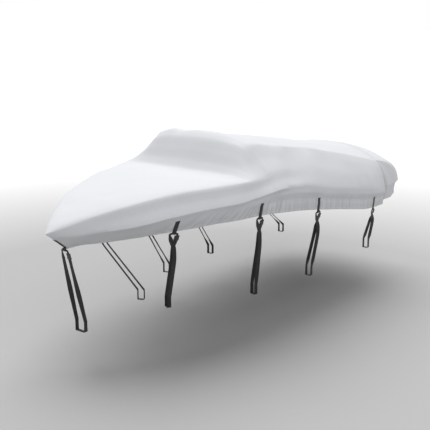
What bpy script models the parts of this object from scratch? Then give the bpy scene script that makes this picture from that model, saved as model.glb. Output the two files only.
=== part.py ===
"""A fitted boat cover, drawn tight by nine webbing straps.

Metres, +X aft, +Y to starboard, +Z up. Sizes are first taken as a sailmaker would take them:
aft of the bow tip, out from the centreline, and up from the ground. place() then moves every
point so that the origin lies under the top cloth, where the cover is held up.
"""
import math

import bmesh
import bpy
import numpy as np
from mathutils import Matrix, Vector

# ---------------------------------------------------------------- driving dimensions
SHEET = 0.003            # cloth with its coating and seam build-up
WEBBING = 0.046          # width of every tab and strap
WEBBING_THICK = 0.0018
CLEAR = 0.0004           # air between pieces that touch in the real thing
MOUNT_AFT = 2.30         # the support under the top, aft of the bow tip
MOUNT_UP = 2.169         # underside of the cloth there, above the ground
SEAM_AFT = 4.90          # quarter seam between main cloth and stern hood

# The lines that run from bow to stern, from the middle of the top down to the hem,
# with how tightly the cloth turns at each one (0 soft, 1 a fold).
LINES = ("crown", "shoulder", "ridge", "slope", "edge", "bulge", "tuck", "hem")
TURN = dict(crown=0.0, shoulder=0.0, ridge=0.0, slope=0.1, edge=0.35, bulge=0.3, tuck=0.2, hem=0.0)
RIDGE_TURN, TURNS_FROM, TURNS_TO = 0.75, 2.05, 2.50   # aft of the front the ridge is a fold
RAKE_SHARE = dict(bulge=0.18, tuck=0.6, hem=1.0)   # how much of the stem's rake a line takes up
SHOULDER_OUT = 0.55      # shoulder line, as a share of the ridge's distance from the middle
SHOULDER_DROP = 0.24     # and of its drop below the crown

# One row for each section: distance aft of the bow tip, stem rake, mesh steps to the next row,
# crown height, then (out, up) for the ridge, slope, edge, bulge, tuck and hem.
SECTION_COLUMNS = ("aft", "rake", "steps", "crown", "ridge", "slope", "edge", "bulge", "tuck", "hem")
SECTIONS = (
    (-0.03, 0.25, 2, 1.440,
     (0.000, 1.440), (0.000, 1.440), (0.000, 1.440), (0.000, 1.405), (0.000, 1.325), (0.000, 1.245)),
    (0.10, 0.25, 2, 1.522,
     (0.062, 1.519), (0.098, 1.511), (0.124, 1.492), (0.138, 1.402), (0.098, 1.330), (0.040, 1.258)),
    (0.30, 0.20, 3, 1.605,
     (0.140, 1.600), (0.215, 1.588), (0.260, 1.565), (0.304, 1.436), (0.252, 1.358), (0.180, 1.275)),
    (0.60, 0.12, 3, 1.695,
     (0.240, 1.688), (0.370, 1.670), (0.443, 1.645), (0.506, 1.466), (0.442, 1.385), (0.365, 1.300)),
    (1.00, 0.05, 3, 1.760,
     (0.340, 1.752), (0.520, 1.735), (0.610, 1.707), (0.694, 1.518), (0.647, 1.427), (0.595, 1.338)),
    (1.40, 0.00, 3, 1.782,
     (0.440, 1.776), (0.670, 1.765), (0.780, 1.737), (0.858, 1.556), (0.822, 1.456), (0.785, 1.364)),
    (1.75, 0.00, 2, 1.780,
     (0.620, 1.776), (0.800, 1.770), (0.885, 1.743), (0.957, 1.566), (0.926, 1.474), (0.890, 1.370)),
    (1.90, 0.00, 2, 1.796,
     (0.720, 1.788), (0.880, 1.772), (0.930, 1.750), (0.985, 1.585), (0.955, 1.495), (0.925, 1.372)),
    (2.00, 0.00, 2, 1.870,
     (0.690, 1.848), (0.865, 1.797), (0.945, 1.752), (1.003, 1.595), (0.975, 1.508), (0.945, 1.372)),
    (2.10, 0.00, 2, 2.004,
     (0.655, 1.957), (0.828, 1.838), (0.950, 1.755), (1.017, 1.605), (0.990, 1.522), (0.960, 1.368)),
    (2.20, 0.00, 2, 2.124,
     (0.636, 2.054), (0.800, 1.887), (0.950, 1.760), (1.028, 1.615), (1.000, 1.535), (0.972, 1.362)),
    (2.30, 0.00, 4, 2.172,
     (0.640, 2.076), (0.785, 1.928), (0.935, 1.790), (1.037, 1.622), (1.010, 1.542), (0.982, 1.355)),
    (2.70, 0.00, 5, 2.103,
     (0.680, 2.022), (0.790, 1.917), (0.935, 1.780), (1.055, 1.610), (1.040, 1.520), (1.020, 1.322)),
    (3.20, 0.00, 5, 2.030,
     (0.710, 1.950), (0.820, 1.848), (0.960, 1.700), (1.072, 1.520), (1.055, 1.432), (1.035, 1.248)),
    (3.80, 0.00, 5, 1.935,
     (0.755, 1.830), (0.860, 1.727), (0.980, 1.585), (1.070, 1.415), (1.053, 1.328), (1.035, 1.145)),
    (4.40, 0.00, 5, 1.834,
     (0.780, 1.700), (0.880, 1.603), (0.975, 1.475), (1.045, 1.310), (1.027, 1.228), (1.005, 1.045)),
    (SEAM_AFT, 0.00, 0, 1.777,
     (0.810, 1.577), (0.880, 1.495), (0.930, 1.390), (0.963, 1.255), (0.955, 1.160), (0.935, 1.003)),
)

# The main folds of the draped sides, ridges out (+) and troughs in (-). Each runs from a place
# near the ridge down to a place near the hem; "line" counts along LINES, 2 the ridge, 7 the hem.
FOLD_COLUMNS = ("side", "aft_top", "line_top", "aft_low", "line_low", "half_width", "depth")
FOLDS = (
    (-1, 2.68, 1.9, 2.34, 5.4, 0.13, 0.014),
    (-1, 2.94, 2.0, 2.62, 5.4, 0.12, -0.010),
    (-1, 3.26, 2.0, 2.97, 6.2, 0.11, 0.010),
    (-1, 3.52, 2.4, 3.30, 6.2, 0.12, -0.008),
    (-1, 4.05, 2.6, 3.92, 6.4, 0.16, -0.007),
    (-1, 1.62, 5.0, 1.46, 7.4, 0.12, -0.007),
    (-1, 1.95, 5.2, 1.80, 7.4, 0.11, 0.006),
    (-1, 2.30, 5.2, 2.24, 7.4, 0.12, -0.008),
    (-1, 2.80, 5.2, 2.74, 7.4, 0.12, 0.007),
    (-1, 3.60, 5.2, 3.60, 7.4, 0.13, -0.007),
    (-1, 4.20, 5.2, 4.22, 7.4, 0.12, 0.006),
    (1, 2.33, 0.9, 2.32, 2.35, 0.10, 0.044),
    (1, 2.74, 1.9, 2.42, 5.4, 0.13, 0.013),
    (1, 3.02, 2.0, 2.74, 5.4, 0.13, -0.010),
    (1, 3.40, 2.0, 3.12, 6.2, 0.12, 0.009),
    (1, 3.95, 2.4, 3.78, 6.4, 0.15, -0.008),
    (1, 1.52, 5.0, 1.38, 7.4, 0.12, -0.006),
    (1, 1.86, 5.2, 1.74, 7.4, 0.12, 0.007),
    (1, 2.46, 5.2, 2.40, 7.4, 0.12, -0.007),
    (1, 2.98, 5.2, 2.94, 7.4, 0.12, 0.006),
    (1, 3.48, 5.2, 3.48, 7.4, 0.13, -0.008),
    (1, 4.28, 5.2, 4.32, 7.4, 0.13, 0.006),
)
STEPS_BETWEEN_LINES = 2

# Stern hood: it closes the cover behind the quarter seam, with a rim and a short skirt.
HOOD_GAP = 0.0005        # the hood stands this far aft of the seam plane
HOOD_DEPTH = 0.62        # from the seam to the aftmost point of the rim
HOOD_SQUARE = 5.0        # how square the rim's corners are, as a superellipse exponent
HOOD_RIM_UP = (1.262, 1.285)      # rim height at the seam and at the middle of the stern
HOOD_SKIRT_DROP = 0.185
HOOD_SKIRT_IN = 0.045
HOOD_TUCK_DROP = 0.045   # the rim turns under within this height
HOOD_COLUMNS = 26
HOOD_ROWS = 6            # between the rim and the seam's arch
HOOD_BLEND = 0.16        # share of the width over which the hood takes the main cloth's section

# Tabs, from their upper end down over the hem to the loop that the strap passes through.
TAB_LONG = 0.145
TAB_OFF = 0.0008         # tab stands this far off the faceted cloth
BOW_TAB_OFF = 0.0038     # and this far off the stem
BOW_TAB_FLATTENS = 0.005 # below its last line on the stem the bow tab is flat again
TAB_THICK = 2 * WEBBING_THICK
EYE_TOP, EYE_BOTTOM = 0.0075, 0.0375   # the loop's opening, below the hem
EYE_DEEP = 0.0066
TAB_AFT = dict(port_1=1.045, port_2=2.075, port_3=3.115, port_4=4.530)
BOW_TAB_LINES = (5.5, 6.0, 6.5, 6.75)  # the bow tab lies on the stem between these lines
BOW_LOOP_DOWN = (0.25, 0.0, -0.97)     # and its loop hangs forward of the stem

# Straps: an arch through the tab's loop, then two legs down to a square bight at the foot.
ARCH_HALF = 0.0290       # straight run through the loop, either side of its middle
ARCH_RADIUS = 0.0125
ARCH_BUNCH = 0.022       # width to which the webbing bunches inside the loop
ARCH_END = 0.023         # and its width at the end of the arch
LEG_OPENS = 0.070        # below the arch the webbing is flat again within this length
BIGHT_WIDE = 0.072
BIGHT_UP = (0.364, 0.472)
BIGHT_CORNER = 0.007
BIGHT_AT = dict(port_1=(1.44, 0.200), port_2=(2.38, 0.665), port_3=(3.37, 0.772), port_4=(4.93, 0.700))
BIGHT_TOE_OUT = dict(port_1=26.0, port_2=18.0, port_3=2.0, port_4=0.0)   # degrees, going aft
BOW_BIGHT_AFT = 0.37
BOW_BIGHT_WIDE = 0.125
# A side strap's legs meet below the arch, the forward one outboard of the aft one. Each turns at
# a knee where it bears on what the cover lies over: how far down, and how far outboard of a line.
LEGS_MEET = 0.20
KNEE_DOWN = 0.36
KNEE_OUT = dict(
    bow=(0.0, 0.0), port_1=(0.066, 0.030), port_2=(0.030, 0.016), port_3=(0.034, 0.010),
    port_4=(0.020, 0.004),
)
KNEE_ROUND = 0.07        # length of the bend, either side of the knee
LEG_STRAIGHT, LEG_BEND = 5, 4   # steps of the mesh in each straight part, and in the bend
LEG_TWIST = dict(bow=0.0, port_1=4.0, port_2=14.0, port_3=28.0, port_4=32.0)   # degrees, to face forward
TWIST_FROM, TWIST_TO = 0.09, 0.22      # it grows over this length below the arch

# Buckles: a two-part side-release buckle on each strap, just below the tab.
BUCKLE_LONG, BUCKLE_WIDE, BUCKLE_THICK = 0.064, 0.054, 0.012
BUCKLE_BELOW = 0.014     # from the end of the arch to the buckle
BUCKLE_POCKET = 0.006    # how far the webbing enters it
BUCKLE_BEVEL = 0.0025

CLOTH = ("cover_cloth", (0.60, 0.61, 0.64), 0.75)
BLACK = ("strap_webbing", (0.018, 0.018, 0.020), 0.85)
PLASTIC = ("buckle_plastic", (0.045, 0.046, 0.050), 0.45)


# ---------------------------------------------------------------- small helpers
def clear_scene():
    for thing in list(bpy.data.objects):
        bpy.data.objects.remove(thing, do_unlink=True)


def material(kind):
    name, colour, roughness = kind
    found = bpy.data.materials.get(name)
    if found:
        return found
    made = bpy.data.materials.new(name)
    made.use_nodes = True
    shader = made.node_tree.nodes["Principled BSDF"]
    shader.inputs["Base Color"].default_value = (*colour, 1.0)
    shader.inputs["Roughness"].default_value = roughness
    shader.inputs["Metallic"].default_value = 0.0
    return made


def unit(v):
    v = np.asarray(v, float)
    return v / max(np.linalg.norm(v), 1e-12)


def smoothstep(low, high, x):
    t = np.clip((x - low) / (high - low), 0.0, 1.0)
    return t * t * (3.0 - 2.0 * t)


def monotone(xs, ys, x):
    """Cubic through the points of a table, without overshoot between its rows."""
    xs, ys = np.asarray(xs, float), np.asarray(ys, float)
    run = np.diff(xs)
    rise = np.diff(ys) / run
    slope = np.zeros(len(xs))
    slope[0], slope[-1] = rise[0], rise[-1]
    for k in range(1, len(xs) - 1):
        if rise[k - 1] * rise[k] > 0.0:
            near, far = 2 * run[k] + run[k - 1], run[k] + 2 * run[k - 1]
            slope[k] = (near + far) / (near / rise[k - 1] + far / rise[k])
    k = int(np.clip(np.searchsorted(xs, x) - 1, 0, len(run) - 1))
    t = (x - xs[k]) / run[k]
    return (
        (2 * t**3 - 3 * t**2 + 1) * ys[k]
        + (t**3 - 2 * t**2 + t) * run[k] * slope[k]
        + (3 * t**2 - 2 * t**3) * ys[k + 1]
        + (t**3 - t**2) * run[k] * slope[k + 1]
    )


def place(point):
    """From sailmaker's sizes to the part's own frame."""
    return (point[0] - MOUNT_AFT, point[1], point[2] - MOUNT_UP)


def add_object(name, verts, faces, kind, smooth_angle=None, stands=None):
    """The points are in sailmaker's sizes or, where stands is given, in that matrix's own axes."""
    mesh = bpy.data.meshes.new(name)
    bm = bmesh.new()
    made = [bm.verts.new(v if stands else place(v)) for v in verts]
    for face in faces:
        if len(set(face)) > 2:
            bm.faces.new([made[k] for k in face])
    bmesh.ops.remove_doubles(bm, verts=bm.verts, dist=0.00005)
    bmesh.ops.triangulate(bm, faces=bm.faces, quad_method="FIXED")
    bmesh.ops.recalc_face_normals(bm, faces=bm.faces)
    bm.to_mesh(mesh)
    bm.free()
    if smooth_angle is not None:
        mesh.shade_smooth()
        mesh.set_sharp_from_angle(angle=math.radians(smooth_angle))
    thing = bpy.data.objects.new(name, mesh)
    thing.data.materials.append(material(kind))
    bpy.context.scene.collection.objects.link(thing)
    if stands:
        thing.matrix_world = stands
    return thing


# ---------------------------------------------------------------- the draped surface
def column(name):
    return [row[SECTION_COLUMNS.index(name)] for row in SECTIONS]


AFT_OF_ROWS = column("aft")


def control_points(aft):
    """The eight points of one half section, port side positive."""
    def read(name):
        return float(monotone(AFT_OF_ROWS, column(name), aft))

    def read_pair(name):
        pairs = column(name)
        return tuple(float(monotone(AFT_OF_ROWS, [p[k] for p in pairs], aft)) for k in (0, 1))

    crown, rake = read("crown"), read("rake")
    out, up = read_pair("ridge")
    points = [(aft, 0.0, crown), (aft, SHOULDER_OUT * out, crown - SHOULDER_DROP * (crown - up))]
    for line in LINES[2:]:
        out, up = read_pair(line)
        points.append((aft + rake * RAKE_SHARE.get(line, 0.0), out, up))
    return np.array(points)


def half_section(aft):
    """A smooth curve through the control points, as a function of the line number."""
    points = control_points(aft)
    mirrored = points[1] * np.array([1.0, -1.0, 1.0])
    around = np.vstack([mirrored, points, 2 * points[-1] - points[-2]])
    chords = np.linalg.norm(np.diff(points, axis=0), axis=1)
    tangents = around[2:] - around[:-2]
    lengths = np.maximum(np.linalg.norm(tangents, axis=1), 1e-9)
    loose = np.array([1.0 - TURN[line] for line in LINES])
    loose[2] -= RIDGE_TURN * smoothstep(TURNS_FROM, TURNS_TO, aft)
    tangents = tangents / lengths[:, None] * loose[:, None]

    def curve(line):
        k = int(np.clip(math.floor(line), 0, len(points) - 2))
        t = line - k
        return (
            (2 * t**3 - 3 * t**2 + 1) * points[k]
            + (t**3 - 2 * t**2 + t) * chords[k] * tangents[k]
            + (3 * t**2 - 2 * t**3) * points[k + 1]
            + (t**3 - t**2) * chords[k] * tangents[k + 1]
        )

    return curve


def fold_depth(side, aft, line):
    """How far the main folds push the cloth out at this place."""
    total = 0.0
    for row in FOLDS:
        fold = dict(zip(FOLD_COLUMNS, row))
        if fold["side"] != side:
            continue
        down = (line - fold["line_top"]) / (fold["line_low"] - fold["line_top"])
        if not 0.0 < down < 1.0:
            continue
        middle = fold["aft_top"] + down * (fold["aft_low"] - fold["aft_top"])
        across = (aft - middle) / fold["half_width"]
        fade = smoothstep(0.0, 0.3, down) * smoothstep(0.0, 0.2, 1.0 - down)
        total += fold["depth"] * math.exp(-across * across) * fade
    return total


def surface(side, aft, line):
    """A point on the outside of the main cloth."""
    curve = half_section(aft)
    point = curve(line)
    depth = fold_depth(side, aft, line)
    if abs(depth) > 1e-6:
        along = unit(curve(min(line + 0.05, 7.0)) - curve(line - 0.05))
        point = point + depth * np.array([0.0, -along[2], along[1]])
    return point * np.array([1.0, side, 1.0])


def stations():
    """Distances aft of every cross-section of the mesh, with one in the middle of each tab."""
    steps = column("steps")
    places = []
    for k in range(len(SECTIONS) - 1):
        low, high = AFT_OF_ROWS[k], AFT_OF_ROWS[k + 1]
        places += [low + (high - low) * j / steps[k] for j in range(steps[k])]
    places = [p for p in places if min(abs(p - t) for t in TAB_AFT.values()) > 0.03]
    return sorted(places + list(TAB_AFT.values()) + [AFT_OF_ROWS[-1]])


def arch_lines():
    """Line numbers from the port hem over the crown to the starboard hem, with their sides."""
    count = STEPS_BETWEEN_LINES * (len(LINES) - 1)
    port = [(-1, k / STEPS_BETWEEN_LINES) for k in range(count, 0, -1)]
    starboard = [(1, k / STEPS_BETWEEN_LINES) for k in range(0, count + 1)]
    return port + starboard


def cloth_grid():
    """The outside of the main cloth: one row of points for each station."""
    return np.array([[surface(side, aft, line) for side, line in arch_lines()] for aft in stations()])


def on_cloth(grid, side, aft, line):
    """The same place as surface(), on the flat triangles of the grid."""
    places = stations()
    i = int(np.clip(np.searchsorted(places, aft + 1e-9) - 1, 0, len(places) - 2))
    u = (aft - places[i]) / (places[i + 1] - places[i])
    across = (grid.shape[1] - 1) / 2 + side * line * STEPS_BETWEEN_LINES
    j = int(np.clip(math.floor(across + 1e-9), 0, grid.shape[1] - 2))
    v = across - j
    a, b, c, d = grid[i, j], grid[i + 1, j], grid[i + 1, j + 1], grid[i, j + 1]
    if u >= v:
        return a + u * (b - a) + v * (c - b)
    return a + v * (d - a) + u * (c - d)


def grid_normals(grid, flat_rows=(), stem=None):
    """Unit normals of a grid of points, pointing out of the cover."""
    along = np.gradient(grid, axis=0)
    across = np.gradient(grid, axis=1)
    normals = np.cross(along, across)
    for row in flat_rows:
        normals[row][..., 0] = 0.0
    size = np.linalg.norm(normals, axis=2, keepdims=True)
    normals = normals / np.maximum(size, 1e-12)
    if stem is not None:
        for j in range(grid.shape[1]):
            normals[0, j] = unit(grid[0, j] - stem)
    return normals


def shell(outer, inner):
    """The two faces of one sheet of cloth, and where each grid point sits in its list."""
    rows, columns = outer.shape[:2]
    count = rows * columns
    verts = [tuple(p) for p in outer.reshape(-1, 3)] + [tuple(p) for p in inner.reshape(-1, 3)]

    def at(i, j, layer):
        return layer * count + i * columns + j

    faces = []
    for i in range(rows - 1):
        for j in range(columns - 1):
            for layer in (0, 1):
                a, b = at(i, j, layer), at(i + 1, j, layer)
                c, d = at(i + 1, j + 1, layer), at(i, j + 1, layer)
                faces += [(a, b, c), (a, c, d)]
    return verts, faces, at


def build_main_cloth(outer):
    """Bow to quarter seam. The first row of the grid is the stem, where both sides meet."""
    stem_inside = np.array([0.60, 0.0, 1.45])
    normals = grid_normals(outer, flat_rows=(-1,), stem=stem_inside)
    if normals[20, outer.shape[1] // 2, 2] < 0:
        normals[1:] *= -1.0
    depth = np.full(outer.shape[:2] + (1,), SHEET)
    depth[0] = SHEET * 1.6
    inner = outer - normals * depth
    verts, faces, at = shell(outer, inner)
    rows, columns = outer.shape[:2]
    for j in range(columns - 1):
        last = rows - 1
        faces.append((at(last, j, 0), at(last, j, 1), at(last, j + 1, 1), at(last, j + 1, 0)))
    for i in range(rows - 1):
        for j in (0, columns - 1):
            faces.append((at(i, j, 0), at(i, j, 1), at(i + 1, j, 1), at(i + 1, j, 0)))
    add_object("cover_main", verts, faces, CLOTH, smooth_angle=35)


# ---------------------------------------------------------------- stern hood
def hood_point(share, row):
    """share runs -1 (port) to 1 (starboard); row 0 is the hem, 3 the rim, then up to the arch."""
    side = -1.0 if share < 0 else 1.0
    seam = half_section(SEAM_AFT)
    angle = abs(share) * math.pi / 2
    seam_lines = (6.62, 6.1, 5.45, 5.0)
    rim_out = seam(5.0)[1]
    aft = HOOD_DEPTH * math.cos(angle) ** (2 / HOOD_SQUARE)
    out = rim_out * math.sin(angle) ** (2 / HOOD_SQUARE)
    rim_up = HOOD_RIM_UP[0] + (HOOD_RIM_UP[1] - HOOD_RIM_UP[0]) * math.cos(angle)
    if row <= 3:
        drop = (HOOD_SKIRT_DROP, 0.6 * HOOD_SKIRT_DROP, HOOD_TUCK_DROP, 0.0)[row]
        inset = (HOOD_SKIRT_IN, 0.9 * HOOD_SKIRT_IN, 0.7 * HOOD_SKIRT_IN, 0.0)[row]
        shrink = 1.0 - inset / rim_out
        body = np.array([aft - inset * math.cos(angle), out * shrink, rim_up - drop])
        edge = seam(seam_lines[row])
    else:
        climb = (row - 3) / HOOD_ROWS
        turn = climb * math.pi / 2
        top = arch_at_out(seam, out / rim_out * seam(2.0)[1])
        spread = math.cos(turn)
        rise = math.sin(turn)
        body = np.array([aft * spread, top[1] + (out - top[1]) * spread, rim_up + (top[2] - rim_up) * rise])
        edge = seam(5.0 - 3.0 * climb)
    near_seam = smoothstep(1.0 - HOOD_BLEND, 1.0, abs(share))
    point = body * (1 - near_seam) + np.array([0.0, edge[1], edge[2]]) * near_seam
    point[0] = body[0] * (1.0 if abs(share) < 1.0 else 0.0)
    return np.array([SEAM_AFT + HOOD_GAP + max(point[0], 0.0), point[1] * side, point[2]])


def arch_at_out(curve, out):
    """The point of the top's arch that lies this far from the centreline."""
    low, high = 0.0, 2.0
    for _ in range(40):
        middle = (low + high) / 2
        low, high = (middle, high) if curve(middle)[1] < out else (low, middle)
    return curve((low + high) / 2)


def build_hood():
    shares = [-1.0 + 2.0 * k / HOOD_COLUMNS for k in range(HOOD_COLUMNS + 1)]
    rows = 4 + HOOD_ROWS
    outer = np.array([[hood_point(share, row) for share in shares] for row in range(rows)])
    normals = grid_normals(outer)
    normals[:, 0, 0] = normals[:, -1, 0] = 0.0
    normals[-1, :, 0] = 0.0
    normals /= np.maximum(np.linalg.norm(normals, axis=2, keepdims=True), 1e-12)
    if normals[2, HOOD_COLUMNS // 2, 0] < 0:
        normals = -normals
    inner = outer - normals * SHEET
    verts, faces, at = shell(outer, inner)
    border = [(i, 0) for i in range(rows)] + [(rows - 1, j) for j in range(1, HOOD_COLUMNS + 1)]
    border += [(i, HOOD_COLUMNS) for i in range(rows - 2, -1, -1)]
    border += [(0, j) for j in range(HOOD_COLUMNS - 1, 0, -1)]
    for k in range(len(border)):
        (i, j), (m, n) = border[k], border[(k + 1) % len(border)]
        faces.append((at(i, j, 0), at(i, j, 1), at(m, n, 1), at(m, n, 0)))
    add_object("cover_hood", verts, faces, CLOTH, smooth_angle=35)


# ---------------------------------------------------------------- tabs, straps and buckles
def side_and_aft(name):
    """1 for starboard or -1 for port, and how far aft this tab sits."""
    if name == "bow":
        return 1, AFT_OF_ROWS[0]
    return (1 if name.startswith("starboard") else -1), TAB_AFT[name.replace("starboard", "port")]


def hem_frame(grid, name):
    """Where a loop hangs: origin at its top, then unit vectors along, down and out of the cloth."""
    side, aft = side_and_aft(name)
    if name == "bow":
        origin = on_cloth(grid, side, aft, BOW_TAB_LINES[-1])
        down = unit(BOW_LOOP_DOWN)
        along, away = np.array([0.0, -1.0, 0.0]), np.array([-1.0, 0.0, 0.0])
    else:
        origin = on_cloth(grid, side, aft, 7.0)
        down = unit(origin - on_cloth(grid, side, aft, 6.5))
        along = on_cloth(grid, side, aft + WEBBING / 2, 7.0) - on_cloth(grid, side, aft - WEBBING / 2, 7.0)
        away = np.array([0.0, side, 0.0])
    along = unit(along - down * np.dot(along, down))
    out = np.cross(along, down)
    return origin, along, down, out if np.dot(out, away) > 0 else -out


def tab_off(name):
    """How far a tab's inner face stands off the cloth."""
    return BOW_TAB_OFF if name == "bow" else TAB_OFF


def tab_rows(grid, name):
    """Rows of three points down the cloth under a tab, with the way out of the cloth at each."""
    side, aft = side_and_aft(name)
    origin, along, down, out = hem_frame(grid, name)
    if name == "bow":
        rows = []
        for line in BOW_TAB_LINES:
            middle = on_cloth(grid, 1, aft, line)
            flank = unit(on_cloth(grid, 1, aft + 0.065, line) - middle) * WEBBING / 2
            points = (middle + flank, middle, middle + flank * [1, -1, 1])
            rows.append((points, [unit(out + np.array([0.0, s, 0.0])) for s in (0.9, 0.0, -0.9)]))
        below = origin + down * BOW_TAB_FLATTENS
        rows.append(([below + along * step * WEBBING / 2 for step in (-1, 0, 1)], [out] * 3))
        return rows
    fine = [7.0 - 0.01 * k for k in range(201)]
    path = np.array([on_cloth(grid, side, aft, line) for line in fine])
    length = np.concatenate([[0.0], np.cumsum(np.linalg.norm(np.diff(path, axis=0), axis=1))])
    top = float(np.interp(TAB_LONG, length, fine))
    rows = []
    grid_lines = [5.0 + k / STEPS_BETWEEN_LINES for k in range(5)]
    for line in [top] + [line for line in grid_lines if line > top + 0.1]:
        points = [on_cloth(grid, side, aft + step * WEBBING / 2, line) for step in (-1, 0, 1)]
        rows.append((points, [out] * 3))
    return rows


def ribbon(name, rows, kind):
    """A band of webbing through rows of (centre, across, half width)."""
    verts, faces = [], []
    centres = np.array([row[0] for row in rows])
    steps = np.diff(centres, axis=0)
    steps = steps / np.maximum(np.linalg.norm(steps, axis=1, keepdims=True), 1e-12)
    for k, (centre, across, half_wide) in enumerate(rows):
        before, after = steps[max(k - 1, 0)], steps[min(k, len(steps) - 1)]
        ahead = unit(before + after)
        across = unit(across - ahead * np.dot(across, ahead))
        face = np.cross(ahead, across) * WEBBING_THICK / 2 / max(np.dot(ahead, after), 0.5)
        for a, b in ((-1, -1), (1, -1), (1, 1), (-1, 1)):
            verts.append(centre + across * half_wide * a + face * b)
    for k in range(len(rows) - 1):
        a, b, c, d = range(4 * k, 4 * k + 4)
        # quads are split from their first corner, the same way on both faces of the band
        faces += [(a, b, b + 4, a + 4), (d, d + 4, c + 4, c), (b, c, c + 4, b + 4), (d, a, a + 4, d + 4)]
    last = 4 * (len(rows) - 1)
    faces += [(0, 1, 2, 3), (last, last + 1, last + 2, last + 3)]
    add_object(name, verts, faces, kind, smooth_angle=40)


def tab_loop_outline(off):
    """The loop below the hem as (below the hem, out from the cloth): its outer and inner rounds."""
    half = EYE_DEEP / 2
    wall = WEBBING_THICK
    mid = off + TAB_THICK / 2
    outer = [
        (EYE_TOP + 0.003, mid + half + wall),
        (EYE_BOTTOM - 0.004, mid + half + wall),
        (EYE_BOTTOM + wall, mid + half * 0.8),
        (EYE_BOTTOM + wall, mid - half * 0.8),
        (EYE_BOTTOM - 0.004, mid - half - wall),
        (EYE_TOP + 0.003, mid - half - wall),
    ]
    inner = [
        (EYE_TOP + 0.003, mid + half),
        (EYE_BOTTOM - 0.004, mid + half),
        (EYE_BOTTOM, mid + half * 0.6),
        (EYE_BOTTOM, mid - half * 0.6),
        (EYE_BOTTOM - 0.004, mid - half),
        (EYE_TOP + 0.003, mid - half),
    ]
    return outer, inner


def build_tab(grid, name):
    """Doubled webbing on the skirt, opening into a loop below the hem."""
    origin, along, down, out = hem_frame(grid, name)
    off = tab_off(name)
    rings = []
    size = 6
    for points, outs in tab_rows(grid, name):
        near = [p + o * off for p, o in zip(points, outs)]
        far = [p + o * (off + TAB_THICK) for p, o in zip(points, outs)]
        rings.append(near + far[::-1])
    verts = [tuple(p) for ring in rings for p in ring]
    faces = []
    for k in range(len(rings) - 1):
        for j in range(size):
            m = (j + 1) % size
            faces.append((size * k + j, size * k + m, size * k + size + m, size * k + size + j))
    faces += [(0, 1, 4, 5), (1, 2, 3, 4)]
    base = len(verts)
    last = size * (len(rings) - 1)
    outer, inner = tab_loop_outline(off)
    half = WEBBING / 2
    neck = [(EYE_TOP, off + TAB_THICK / 2)]
    for across in (-half, 0.0, half):
        for below, lift in outer + inner + neck:
            verts.append(tuple(origin + along * across + down * below + out * lift))
    n_outer, n_inner = len(outer), len(inner)
    stride = n_outer + n_inner + 1

    def o(c, k):
        return base + c * stride + k

    def i(c, k):
        return base + c * stride + n_outer + k

    def apex(c):
        return base + c * stride + n_outer + n_inner

    near = [last + 0, last + 1, last + 2]
    far = [last + 5, last + 4, last + 3]
    for c in (0, 1):
        faces.append((far[c], far[c + 1], o(c + 1, 0), o(c, 0)))
        faces.append((near[c], near[c + 1], o(c + 1, n_outer - 1), o(c, n_outer - 1)))
        for k in range(n_outer - 1):
            faces.append((o(c, k), o(c + 1, k), o(c + 1, k + 1), o(c, k + 1)))
            faces.append((i(c, k), i(c + 1, k), i(c + 1, k + 1), i(c, k + 1)))
        faces.append((apex(c), apex(c + 1), i(c + 1, 0), i(c, 0)))
        faces.append((apex(c), apex(c + 1), i(c + 1, n_inner - 1), i(c, n_inner - 1)))
    for c in (0, 2):
        for k in range(n_outer - 1):
            faces.append((o(c, k), o(c, k + 1), i(c, k + 1), i(c, k)))
        faces.append((far[c], o(c, 0), i(c, 0), apex(c)))
        faces.append((near[c], o(c, n_outer - 1), i(c, n_inner - 1), apex(c)))
        faces.append((far[c], apex(c), near[c]))
    add_object("tab_" + name, verts, faces, BLACK)


def bight_of(name):
    """The strap's bight at the foot: its middle, half width, and unit vectors along and outboard."""
    if name == "bow":
        lengthwise, outboard = np.array([1.0, 0.0, 0.0]), np.array([0.0, -1.0, 0.0])
        return np.array([BOW_BIGHT_AFT, 0.0, 0.0]), BOW_BIGHT_WIDE / 2, lengthwise, outboard
    port_name = name.replace("starboard", "port")
    side = 1.0 if name.startswith("starboard") else -1.0
    aft, out = BIGHT_AT[port_name]
    toe = math.radians(BIGHT_TOE_OUT[port_name])
    lengthwise = np.array([math.cos(toe), side * math.sin(toe), 0.0])
    outboard = np.array([-math.sin(toe), side * math.cos(toe), 0.0])
    return np.array([aft, out * side, 0.0]), BIGHT_WIDE / 2, lengthwise, outboard


def arch_quarter(frame, off, side):
    """From the middle of the tab's loop out and down into one leg."""
    origin, along, down, out = frame
    crest = EYE_BOTTOM - CLEAR - ARCH_BUNCH / 2
    rows = []
    for degrees in (0, 22, 45, 68, 90):
        a = math.radians(degrees)
        centre = origin + out * (off + TAB_THICK / 2)
        centre = centre + along * side * (ARCH_HALF + ARCH_RADIUS * math.sin(a))
        centre = centre + down * (crest + ARCH_RADIUS * (1 - math.cos(a)))
        half_wide = (ARCH_BUNCH + (ARCH_END - ARCH_BUNCH) * smoothstep(0, 90, degrees)) / 2
        rows.append((centre, down * math.cos(a) - along * side * math.sin(a), half_wide))
    return rows


def half_width_below(distance):
    """Half the webbing's width this far below the end of the arch."""
    return (ARCH_END + (WEBBING - ARCH_END) * smoothstep(0.0, LEG_OPENS, distance)) / 2


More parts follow.
